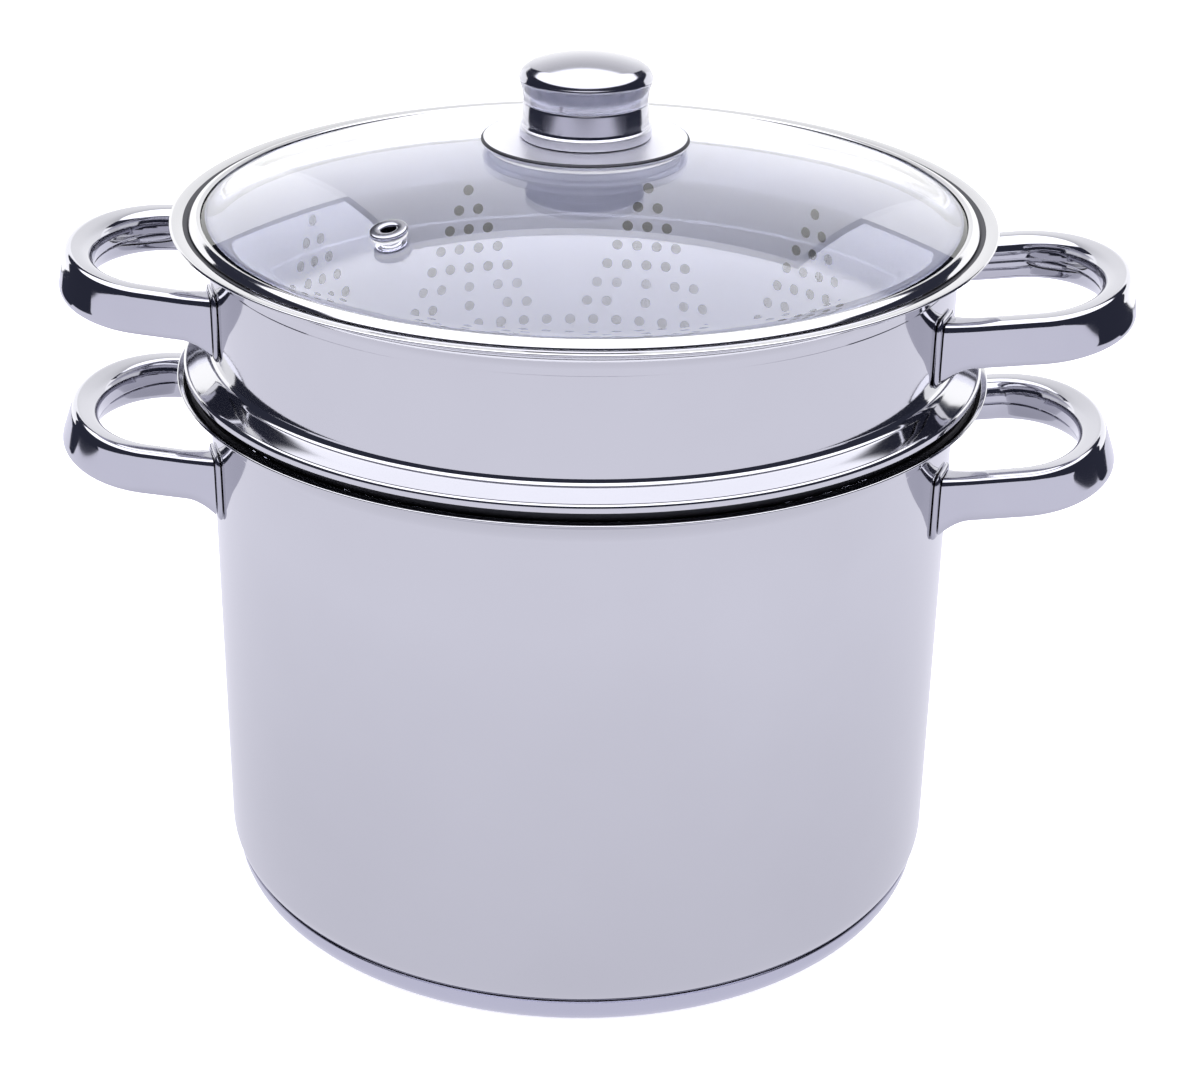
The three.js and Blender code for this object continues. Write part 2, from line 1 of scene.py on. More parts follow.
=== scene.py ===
import math
import bmesh
import bpy
import numpy as np
from mathutils import Matrix, Vector
from mathutils.geometry import delaunay_2d_cdt


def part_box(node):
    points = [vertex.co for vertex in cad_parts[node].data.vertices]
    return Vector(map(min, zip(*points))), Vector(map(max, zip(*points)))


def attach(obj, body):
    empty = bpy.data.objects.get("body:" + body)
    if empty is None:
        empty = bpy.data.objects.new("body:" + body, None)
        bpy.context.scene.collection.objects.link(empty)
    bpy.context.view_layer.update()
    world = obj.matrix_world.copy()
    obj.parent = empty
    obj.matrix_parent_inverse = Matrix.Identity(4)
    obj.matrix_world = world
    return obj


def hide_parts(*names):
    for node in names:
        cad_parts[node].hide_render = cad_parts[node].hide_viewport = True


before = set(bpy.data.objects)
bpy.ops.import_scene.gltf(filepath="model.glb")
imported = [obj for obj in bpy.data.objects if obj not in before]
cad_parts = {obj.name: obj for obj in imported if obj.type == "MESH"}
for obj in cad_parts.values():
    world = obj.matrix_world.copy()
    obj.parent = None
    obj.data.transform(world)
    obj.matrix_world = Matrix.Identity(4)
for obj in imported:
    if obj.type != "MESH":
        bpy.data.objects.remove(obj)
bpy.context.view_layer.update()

mm = 0.001            # shapes are worked out in millimetres and laid down in metres
turnSteps = 192       # steps round the axis for the large turned pieces
knobSteps = 128       # the same for the knob, its seals and the smallest pieces
sealSteps = 96
smallSteps = 64
seatGap = 0.3         # clearance between pieces that seat on each other
colanderTurn = -1.6   # degrees that the colander and the lid stand turned on the pot
mergeGap = 0.003      # points closer than this become one
sliver = 0.001        # edges shorter than this are dissolved
sharpAngle = 34.0     # degrees above which an edge stays sharp
fineStep = 4.0        # longest stretch between the points of a finer profile


def nodeSpan(node):
    # largest radius from the axis, lowest and highest point of a CAD node
    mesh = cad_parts[node].data
    points = np.empty(len(mesh.vertices) * 3, np.float32)
    mesh.vertices.foreach_get("co", points)
    points = points.reshape(-1, 3).astype(float) / mm
    return np.hypot(points[:, 0], points[:, 1]).max(), points[:, 2].min(), points[:, 2].max()


lipEdge, floorUnder, potTop = nodeSpan("pot_shell")
capEdge, restFace, capTop = nodeSpan("base_cap")
rimRadius, basketUnder, rimTop = nodeSpan("colander_shell")
bandRadius = nodeSpan("lid_rim_band")[0]
glassRadius, _, glassTop = nodeSpan("lid_glass")
discRadius, _, discTop = nodeSpan("knob_base_disc")
neckRadius, neckUnder, neckTop = nodeSpan("knob_neck")
knobRadius, knobUnder, knobTop = nodeSpan("knob_cap")
print("frame: pot radius at the lip %.1f mm, top of the knob %.1f mm" % (lipEdge, knobTop))


# small tools for profiles and grids

def fullTurn(steps):
    # equal angles once round, in radians
    return np.linspace(0, 2 * np.pi, steps, endpoint=False)


def signedPower(values, power):
    # the size raised to the power, with the sign kept
    return np.sign(values) * np.abs(values) ** power


def around(radius, angle, *height):
    # (radius times cosine of the angle, radius times sine of the angle, and the height where one is given)
    return np.stack(np.broadcast_arrays(radius * np.cos(angle), radius * np.sin(angle), *height), -1)


def arcPoints(centre, span, start, stop, steps=14):
    # centre plus the half axes, or one radius, times the cosine and sine of an angle from start to stop, in degrees
    return np.array(centre) + around(1.0, np.radians(np.linspace(start, stop, steps))) * span


def softCorners(points, reach, steps=9):
    # every inner corner becomes a parabola that leaves both its sides at the given distance from the corner
    p = np.asarray(points, float)
    corner = p[1:-1]
    back, ahead = p[:-2] - corner, p[2:] - corner
    backLength = np.linalg.norm(back, axis=1)
    aheadLength = np.linalg.norm(ahead, axis=1)
    used = np.minimum(np.minimum(np.asarray(reach, float), 0.49 * backLength), 0.49 * aheadLength)
    first = corner + back * (used / backLength)[:, None]
    last = corner + ahead * (used / aheadLength)[:, None]
    s = np.linspace(0, 1, steps)[None, :, None]
    bent = (1 - s) ** 2 * first[:, None] + 2 * s * (1 - s) * corner[:, None] + s ** 2 * last[:, None]
    return np.concatenate([p[:1], bent.reshape(-1, 2), p[-1:]])


def smoothThrough(points, steps=8):
    # a Catmull-Rom curve: each span is a cubic whose end slopes are half the chord between its neighbours
    p = np.asarray(points, float)
    p = np.concatenate([[2 * p[0] - p[1]], p, [2 * p[-1] - p[-2]]])
    a, b, c, d = p[:-3, None], p[1:-2, None], p[2:-1, None], p[3:, None]
    s = np.linspace(0, 1, steps, endpoint=False)[None, :, None]
    line = 0.5 * (2 * b + (c - a) * s + (2 * a - 5 * b + 4 * c - d) * s ** 2 + (3 * b - a - 3 * c + d) * s ** 3)
    return np.concatenate([line.reshape(-1, 2), p[-2:-1]])


def spaced(profile, longest=5.0):
    # long straight stretches of a profile get points between, so that the shading stays even
    p = np.asarray(profile, float)
    step = np.linalg.norm(np.diff(p, axis=0), axis=1)
    p, step = p[np.r_[True, step > 1e-6]], step[step > 1e-6]
    count = np.maximum(np.ceil(step / longest).astype(int), 1)
    along = np.concatenate([[0], np.cumsum(step)])
    share = np.arange(count.sum()) - np.repeat(np.cumsum(count) - count, count)
    place = np.repeat(along[:-1], count) + share * np.repeat(step / count, count)
    place = np.append(place, along[-1])
    return np.stack([np.interp(place, along, p[:, 0]), np.interp(place, along, p[:, 1])], 1)


def gridFaces(rows, columns, wrapRows=False, wrapColumns=False):
    # the quads between neighbouring points of a grid that is stored row by row
    r = np.arange(rows if wrapRows else rows - 1)[:, None]
    c = np.arange(columns if wrapColumns else columns - 1)[None, :]
    r2, c2 = (r + 1) % rows, (c + 1) % columns
    return np.stack([r * columns + c, r2 * columns + c, r2 * columns + c2, r * columns + c2], -1).reshape(-1, 4)


def revolve(profile, closed=False, steps=turnSteps, start=0.0):
    # a profile of (radius, height) carried once round the axis
    turn = np.radians(start) + fullTurn(steps)[:, None]
    radius, height = np.asarray(profile, float).T[:, None, :]
    return around(radius, turn, height).reshape(-1, 3), gridFaces(steps, len(profile), True, closed)


def turned(parts, degrees):
    # the same points turned about the vertical axis
    c, s = math.cos(math.radians(degrees)), math.sin(math.radians(degrees))
    spin = np.array([[c, s, 0], [-s, c, 0], [0, 0, 1]])
    return [(points @ spin, *rest) for points, *rest in parts]


def cleanMesh(mesh):
    # doubles merged, slivers dissolved, faces outwards
    bm = bmesh.new()
    bm.from_mesh(mesh)
    bmesh.ops.remove_doubles(bm, verts=bm.verts, dist=mergeGap * mm)
    bmesh.ops.dissolve_degenerate(bm, dist=sliver * mm, edges=bm.edges)
    bmesh.ops.recalc_face_normals(bm, faces=bm.faces)
    bm.to_mesh(mesh)
    bm.free()


def smoothMesh(mesh, sharp=sharpAngle):
    # smooth shading, apart from edges over the given angle
    mesh.shade_smooth()
    mesh.set_sharp_from_angle(angle=math.radians(sharp))


def placed(name, data):
    # a new object in the scene, at the origin
    thing = bpy.data.objects.new(name, data)
    bpy.context.scene.collection.objects.link(thing)
    return thing


def layPiece(name, parts, finishes, body, node, sharp=sharpAngle):
    # one mesh from (points, faces) arrays, with its finishes named in one string;
    # a part may give the number of its finish as a third item
    offset, faces, which = 0, [], []
    for points, cells, *finish in parts:
        faces += (np.asarray(cells) + offset).tolist()
        which += (finish or [0]) * len(cells)
        offset += len(points)
    mesh = bpy.data.meshes.new(name)
    mesh.from_pydata((np.concatenate([part[0] for part in parts]) * mm).tolist(), [], faces)
    mesh.polygons.foreach_set("material_index", which)
    cleanMesh(mesh)
    smoothMesh(mesh, sharp)
    piece = placed(name, mesh)
    for finish in finishes.split():
        mesh.materials.append(bpy.data.materials[finish])
    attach(piece, body)
    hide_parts(node)
    return piece


# finishes

def addNode(tree, kind, settings=None, **sockets):
    # socket names are written with _ for a space
    node = tree.nodes.new("ShaderNode" + kind)
    for key, value in (settings or {}).items():
        setattr(node, key, value)
    for key, value in sockets.items():
        node.inputs[key.replace("_", " ")].default_value = value
    return node


def wire(tree, *joins):
    # each join is a node, its output, another node and its input
    for start, output, end, socket in joins:
        tree.links.new(start.outputs[output], end.inputs[socket])


def newGroup(name, inputs, outputs):
    # a node group with named sockets: inputs are (name, type, default), outputs are (name, type)
    tree = bpy.data.node_groups.new(name, "ShaderNodeTree")
    for label, kind, value in inputs:
        socket = tree.interface.new_socket(label, in_out="INPUT", socket_type="NodeSocket" + kind)
        if value is not None:
            socket.default_value = value
    for label, kind in outputs:
        tree.interface.new_socket(label, in_out="OUTPUT", socket_type="NodeSocket" + kind)
    return tree, tree.nodes.new("NodeGroupInput"), tree.nodes.new("NodeGroupOutput")


def makeTurnedLines():
    # fine polishing lines: noise along height plus radius, so they run round the axis on walls and discs alike
    tree, given, put = newGroup(
        "turnedLines", [("Vector", "Vector", None), ("Density", "Float", 900.0), ("Drift", "Float", 3.0)],
        [("Height", "Float")])
    flat = addNode(tree, "VectorMath", {"operation": "MULTIPLY"})
    flat.inputs[1].default_value = (1, 1, 0)
    radius = addNode(tree, "VectorMath", {"operation": "LENGTH"})
    split = addNode(tree, "SeparateXYZ")
    across = addNode(tree, "Math", {"operation": "ADD"})
    dense = addNode(tree, "Math", {"operation": "MULTIPLY"})
    slow = addNode(tree, "VectorMath", {"operation": "SCALE"})
    apart = addNode(tree, "SeparateXYZ")
    place = addNode(tree, "CombineXYZ")
    noise = addNode(tree, "TexNoise", Scale=1.0, Detail=3.0, Roughness=0.6)
    wire(tree, (given, "Vector", flat, 0), (flat, 0, radius, 0), (given, "Vector", split, 0),
         (split, "Z", across, 0), (radius, "Value", across, 1), (across, 0, dense, 0), (given, "Density", dense, 1),
         (given, "Vector", slow, 0), (given, "Drift", slow, "Scale"), (slow, 0, apart, 0),
         (apart, "X", place, "X"), (apart, "Y", place, "Y"), (dense, 0, place, "Z"),
         (place, 0, noise, "Vector"), (noise, "Fac", put, "Height"))
    return tree


def makeSoftHaze():
    # broad soft patches: one noise that moves a colour between two tones and a gloss between two values
    tree, given, put = newGroup(
        "softHaze",
        [("Vector", "Vector", None), ("Size", "Float", 20.0), ("Light", "Color", (1, 1, 1, 1)),
         ("Dark", "Color", (0, 0, 0, 1)), ("Smooth", "Float", 0.05), ("Dull", "Float", 0.1)],
        [("Colour", "Color"), ("Roughness", "Float")])
    noise = addNode(tree, "TexNoise", Detail=4.0, Roughness=0.55)
    tone = addNode(tree, "Mix", {"data_type": "RGBA"})
    gloss = addNode(tree, "Mix", {"data_type": "FLOAT"})
    wire(tree, (given, "Vector", noise, "Vector"), (given, "Size", noise, "Scale"),
         (noise, "Fac", tone, 0), (given, "Light", tone, 6), (given, "Dark", tone, 7),
         (noise, "Fac", gloss, 0), (given, "Smooth", gloss, 2), (given, "Dull", gloss, 3),
         (tone, 2, put, "Colour"), (gloss, 0, put, "Roughness"))
    return tree


turnedLines = makeTurnedLines()
softHaze = makeSoftHaze()
lineDepth, grainDepth = 0.0001, 0.0002   # bump distances in metres


def emptyFinish(name):
    finish = bpy.data.materials.new(name)
    finish.use_nodes = True
    finish.node_tree.nodes.clear()
    return finish.node_tree


def startFinish(name, look, **sockets):
    # object coordinates into the haze group, which drives colour and gloss of a principled shader
    tree = emptyFinish(name)
    place = addNode(tree, "TexCoord")
    haze = addNode(tree, "Group", {"node_tree": softHaze}, Size=look["patch"], Light=(*look["light"], 1),
                   Dark=(*look["dark"], 1), Smooth=look["smooth"], Dull=look["dull"])
    shader = addNode(tree, "BsdfPrincipled", **sockets)
    out = addNode(tree, "OutputMaterial")
    wire(tree, (place, "Object", haze, "Vector"), (haze, "Colour", shader, "Base Color"),
         (haze, "Roughness", shader, "Roughness"), (shader, "BSDF", out, "Surface"))
    return tree, place, shader


def addBump(tree, source, output, shader, strength, distance):
    bump = addNode(tree, "Bump", Strength=strength, Distance=distance)
    wire(tree, (source, output, bump, "Height"), (bump, "Normal", shader, "Normal"))


def steelFinish(name, look):
    # metal with polishing lines round the axis
    tree, place, shader = startFinish(name, look, Metallic=1.0)
    lines = addNode(tree, "Group", {"node_tree": turnedLines}, Density=look["lines"], Drift=look["drift"])
    wire(tree, (place, "Object", lines, "Vector"))
    addBump(tree, lines, "Height", shader, look["relief"], lineDepth)


def softFinish(name, look):
    # rubbery or moulded surface with a fine grain
    tree, place, shader = startFinish(name, look)
    grain = addNode(tree, "TexNoise", Scale=look["grain"], Detail=2.0)
    wire(tree, (place, "Object", grain, "Vector"))
    addBump(tree, grain, "Fac", shader, look["relief"], grainDepth)


def glassFinish(name, look):
    startFinish(name, look, Transmission_Weight=1.0, IOR=look["ior"])


# the polished steel, and what the other steels change in it
steelLook = {"light": (0.615, 0.615, 0.645), "dark": (0.565, 0.565, 0.59), "smooth": 0.045, "dull": 0.085,
             "patch": 14.0, "lines": 700.0, "drift": 4.0, "relief": 0.02}
satinWork = {"smooth": 0.40, "dull": 0.50, "lines": 1600.0, "relief": 0.10}
steelLooks = {
    "polishedSteel": {},
    # satin inside of the colander: real satin roughness, with its colour raised above any steel's as painted light
    "satinSteel": {**satinWork, "light": (0.90, 0.91, 0.99), "dark": (0.84, 0.85, 0.95)},
    # the same satin darkened as painted shade, for the pot's inside, the colander's low inside and floor, and the
    # dimples' walls
    "innerSteel": {**satinWork, "light": (0.46, 0.46, 0.49), "dark": (0.40, 0.40, 0.43)},
    # near-black steel: painted shade in the gaps under the colander's hem and the lid's band and in the dimples, and a
    # painted dark reflection on the knob disc's rim side
    "dullSteel": {"light": (0.07, 0.07, 0.08), "dark": (0.05, 0.05, 0.06), "smooth": 0.45, "dull": 0.6},
    "handleSteel": {"light": (0.55, 0.55, 0.60), "dark": (0.50, 0.50, 0.55), "patch": 30.0},
    "plateSteel": {"light": (0.50, 0.50, 0.55), "dark": (0.42, 0.42, 0.47), "smooth": 0.09, "dull": 0.16},
    "baseSteel": {"light": (0.58, 0.58, 0.66), "dark": (0.52, 0.52, 0.60), "smooth": 0.10, "dull": 0.16,
                  "lines": 2400.0, "relief": 0.12},
    "knobSteel": {"light": (0.47, 0.47, 0.53), "dark": (0.44, 0.44, 0.50), "smooth": 0.09, "dull": 0.13},
    "discSteel": {"light": (0.80, 0.80, 0.86), "dark": (0.76, 0.76, 0.82), "smooth": 0.38, "dull": 0.46},
    "coreAluminium": {"light": (0.62, 0.63, 0.64), "dark": (0.50, 0.51, 0.52), "smooth": 0.35, "dull": 0.5,
                      "lines": 1500.0, "relief": 0.2},
    "zincSteel": {"light": (0.55, 0.56, 0.58), "dark": (0.42, 0.43, 0.45), "smooth": 0.22, "dull": 0.38,
                  "lines": 3000.0, "relief": 0.1}}
glassLook = {"light": (0.985, 0.985, 1.0), "dark": (0.96, 0.965, 0.985), "smooth": 0.0, "dull": 0.012,
             "patch": 18.0, "ior": 1.5}
siliconeLook = {"light": (0.80, 0.80, 0.82), "dark": (0.70, 0.70, 0.73), "smooth": 0.5, "dull": 0.65,
                "patch": 60.0, "grain": 2500.0, "relief": 0.15}
mouldedLook = {"light": (0.03, 0.03, 0.032), "dark": (0.018, 0.018, 0.02), "smooth": 0.45, "dull": 0.6,
               "patch": 80.0, "grain": 3000.0, "relief": 0.3}

for finishName, change in steelLooks.items():
    steelFinish(finishName, {**steelLook, **change})
glassFinish("clearGlass", glassLook)
softFinish("siliconeRubber", siliconeLook)
softFinish("mouldedCore", mouldedLook)
print("finishes: %d materials" % len(bpy.data.materials))


# pot

potValues = {"sheet": 0.8, "lipRadius": 9.4, "cornerRadius": 9.0, "crease": 0.6, "creaseDepth": 0.07,
             "lipShine": 20.0}
potRadius = lipEdge - potValues["lipRadius"]
lipStart = potTop - potValues["lipRadius"] - potValues["sheet"]


def creaseLine(radius, height, v):
    # a fine groove where a flare leaves its wall, with close points either side to keep its shading narrow
    rise = np.array([-2.4, -1.8, -1.4, -0.9, -0.4, -0.1]) * v["crease"]
    depth = np.array([0, 0, 0, 1, 0, 0]) * v["creaseDepth"]
    return np.stack([radius - depth, height + rise], 1)


def potProfile(v):
    # floor, quarter-round corner, straight wall and quarter-round lip, then back inside one sheet away
    t, lip, corner = v["sheet"], v["lipRadius"], v["cornerRadius"]
    cornerAt = (potRadius - corner, floorUnder + corner)
    outside = np.concatenate([
        [[0, floorUnder]],
        arcPoints(cornerAt, corner, -90, 0),
        creaseLine(potRadius, lipStart, v),
        arcPoints((lipEdge, lipStart), lip, 180, 90, 20),
        arcPoints((lipEdge, potTop - t / 2), t / 2, -90, 90, 9),
        arcPoints((lipEdge, lipStart), lip + t, 90, 90 + v["lipShine"], 8)])
    # the lip's inner face, where the colander sits, is painted shade: near-black steel
    seat = arcPoints((lipEdge, lipStart), lip + t, 90 + v["lipShine"], 180, 16)
    inside = np.concatenate([
        [[potRadius - t, lipStart]],
        arcPoints(cornerAt, corner - t, 0, -90),
        [[0, floorUnder + t]]])
    return spaced(outside), spaced(inside), seat


potOutside, potInside, potSeat = potProfile(potValues)
# the pot's inside is in the darkened satin: painted shade
layPiece("potShell", [revolve(potOutside), (*revolve(potInside), 1), (*revolve(potSeat), 2)],
         "polishedSteel innerSteel dullSteel", "pot", "pot_shell")

baseValues = {"sheet": 0.8, "round": 6.0, "groove": 0.25, "grooveAt": 0.72, "grooveFloor": 0.5, "grooveEdge": 1.5,
              "coreRound": 0.8, "coreStep": 12.0}


def baseCapProfile(v):
    # a shallow tray: flat rest face with one shallow ring groove, and an elliptic edge up to the pot's corner
    t, width = v["sheet"], v["round"]
    flat = capEdge - width
    height = capTop - restFace
    ring, floor, edge = flat * v["grooveAt"], v["grooveFloor"], v["grooveEdge"]
    deep = restFace + v["groove"]
    return spaced(np.concatenate([
        [[0, restFace], [ring - edge, restFace], [ring - floor, deep],
         [ring + floor, deep], [ring + edge, restFace]],
        arcPoints((flat, restFace + height), (width, height), -90, 0, 18),
        arcPoints((flat, restFace + height), (width - t, height - t), 0, -90, 18),
        [[0, restFace + t]]]))


layPiece("baseCap", [revolve(baseCapProfile(baseValues))], "baseSteel", "pot", "base_cap")

coreRadius, coreUnder, coreTop = nodeSpan("base_core_disc")
coreProfile = softCorners([[0, coreUnder], [coreRadius, coreUnder], [coreRadius, coreTop], [0, coreTop]],
                          [baseValues["coreRound"]] * 2)
layPiece("baseCoreDisc", [revolve(spaced(coreProfile, baseValues["coreStep"]))], "coreAluminium", "pot",
         "base_core_disc")
print("pot: shell, base cap and core disc")


# colander shell

colanderValues = {
    "sheet": 0.8, "rimFlareWidth": 11.0, "rimFlareHeight": 9.0, "collarToBasket": 1.0, "shoulderInset": 1.9,
    "shoulderSeat": 0.6, "hemUnder": 2.6, "hemFace": 2.5, "hemOverhang": 3.1, "hemEdge": 0.5, "foldRise": 0.4,
    "foldSlope": 0.8, "neckEase": 1.5, "stepEase": 0.5, "wallShift": 0.1, "seatWidth": 1.6, "slopeFall": 1.9,
    "crease": 0.6, "creaseDepth": 0.07, "innerStep": 0.1, "basketCorner": 12.0, "rimShine": 18.0,
    "holeRadius": 2.0, "holeSides": 16, "groupCount": 11, "groupStart": 16.65, "holePitch": 7.35, "rowPitch": 7.35,
    "topRowRise": 0.2, "collarRows": 2, "openRow": 3, "ringRow": 7, "ringCount": 84, "ringStart": 1.73,
    "blindDepth": 0.5, "underBand": 0.8, "bandBelow": 5.0, "outerAbove": 0.3, "innerAbove": 2.7, "collarBelow": 2.6,
    "collarAbove": 4.0, "gridRows": {"inner": 12, "outer": 11, "collar": 6}, "floorRingPitch": 19.0,
    "floorRingStep": 4, "floorRings": 5, "floorGrid": 6.0}
holeMargin, holeCore = 1.35, 0.97   # grid points keep outside, and cut triangles lie inside, these shares of a hole


def lipHeight(radius):
    # upper face of the pot's lip: a quarter circle about a point outside the wall
    reach = potValues["lipRadius"] + potValues["sheet"]
    return lipStart + math.sqrt(reach ** 2 - (lipEdge - radius) ** 2)


def flareHeight(radius):
    # upper face of the colander's flared rim: a quarter ellipse about a point outside the collar
    wide = colanderValues["rimFlareWidth"] + colanderValues["sheet"]
    high = colanderValues["rimFlareHeight"] + colanderValues["sheet"]
    return rimTop - high + high * np.sqrt(1 - ((rimRadius - radius) / wide) ** 2)


collarRadius = rimRadius - colanderValues["rimFlareWidth"]
basketRadius = collarRadius - colanderValues["collarToBasket"]
shoulderRadius = lipEdge - colanderValues["shoulderInset"]
shoulderBase = lipHeight(shoulderRadius - colanderValues["shoulderSeat"]) + seatGap
topRow = shoulderBase + colanderValues["topRowRise"]
seamDegrees = colanderValues["groupStart"] + colanderTurn + 2.5 * 360 / colanderValues["groupCount"]
seam = math.radians(seamDegrees)   # where walls are unrolled, midway between two groups


def groupRows():
    # one triangular group: (place along the row in pitches, row), row 0 at the tip; rows 5 and 6 leave two gaps
    rows = [np.arange(count) - (count - 1) / 2 for count in range(1, 6)]
    rows += [np.array([-half, 1 - half, 0, half - 1, half]) for half in (2.5, 3.0)]
    return np.concatenate([np.stack([place, np.full(len(place), row)], 1) for row, place in enumerate(rows)])


def wallHoles(v):
    # (angle in radians, height, row) of every hole: the groups round the wall and the closed ring under them
    places = groupRows()
    groups = np.radians(v["groupStart"] + colanderTurn + np.arange(v["groupCount"]) * 360 / v["groupCount"])
    angle = (groups[:, None] + places[None, :, 0] * v["holePitch"] / basketRadius).ravel()
    row = np.tile(places[:, 1], v["groupCount"])
    count = v["ringCount"]
    ringAngle = math.radians(v["ringStart"] + colanderTurn) + np.arange(count) * 2 * np.pi / count
    angle, row = np.append(angle, ringAngle), np.append(row, np.full(count, v["ringRow"]))
    return np.stack([angle, topRow + (v["openRow"] - row) * v["rowPitch"], row], 1)


def ringCorners(count, sides):
    # the numbers of the corners of many rings, and of the corner after each
    corner = np.arange(count * sides).reshape(count, sides)
    return corner, np.roll(corner, -1, 1)


def pierced(outline, inside, centres, radius, sides):
    # a flat convex sheet with round holes: Delaunay triangles over border, inner and hole points,
    # without those whose middle lies in a hole
    clear = np.linalg.norm(inside[:, None] - centres[None], axis=2).min(1) > radius * holeMargin
    circles = centres[:, None] + around(radius, fullTurn(sides))
    points = np.concatenate([outline, inside[clear], circles.reshape(-1, 2)])
    first = len(points) - len(centres) * sides
    edges = np.stack(ringCorners(len(centres), sides), -1).reshape(-1, 2) + first
    found = delaunay_2d_cdt([Vector(p) for p in points], edges.tolist(), [], 0, 1e-5)
    flat = np.array([tuple(p) for p in found[0]])
    cells = np.array(found[2])
    middle = flat[cells].mean(1)
    inHole = np.linalg.norm(middle[:, None] - centres[None], axis=2).min(1) < radius * holeCore
    return flat, cells[~inHole], circles


def holeWalls(nearPoints, farPoints, sides):
    # strips between the two rims of each hole
    low = len(nearPoints)
    corner, after = ringCorners(low // sides, sides)
    faces = np.stack([corner, after, after + low, corner + low], -1).reshape(-1, 4)
    return np.concatenate([nearPoints, farPoints]), faces


def fans(rims, sides):
    # triangles from the corners of each rim to its middle
    corner, after = ringCorners(len(rims) // sides, sides)
    hub = np.repeat(np.arange(len(corner))[:, None] + len(rims), sides, 1)
    points = np.concatenate([rims, rims.reshape(-1, sides, 3).mean(1)])
    return points, np.stack([corner, after, hub], -1).reshape(-1, 3)


def rolled(points, radius):
    # (arc length, height) laid round the axis from the seam on
    return around(radius, points[:, 0] / basketRadius + seam, points[:, 1])


def wallSheet(low, high, rows, holes, radius, v):
    # a band of wall unrolled to (arc length, height), pierced, and rolled back onto its radius
    across = np.linspace(0, 2 * np.pi, turnSteps + 1) * basketRadius
    up = np.linspace(low, high, rows)
    grid = np.stack(np.meshgrid(across, up, indexing="ij"), -1)
    rim = np.zeros(grid.shape[:2], bool)
    rim[[0, -1], :] = rim[:, [0, -1]] = True
    centres = np.stack([((holes[:, 0] - seam) % (2 * np.pi)) * basketRadius, holes[:, 1]], 1)
    flat, cells, circles = pierced(grid[rim], grid[~rim], centres, v["holeRadius"], v["holeSides"])
    return (rolled(flat, radius), cells), circles


def blindHoles(rims, radius, v):
    # shallow dimples: a short wall in the darkened satin and a near-black bottom, both painted shade
    flat, sides = rims.reshape(-1, 2), v["holeSides"]
    bottom = rolled(flat, radius + v["blindDepth"])
    return [(*holeWalls(rolled(flat, radius), bottom, sides), 3), (*fans(bottom, sides), 2)]


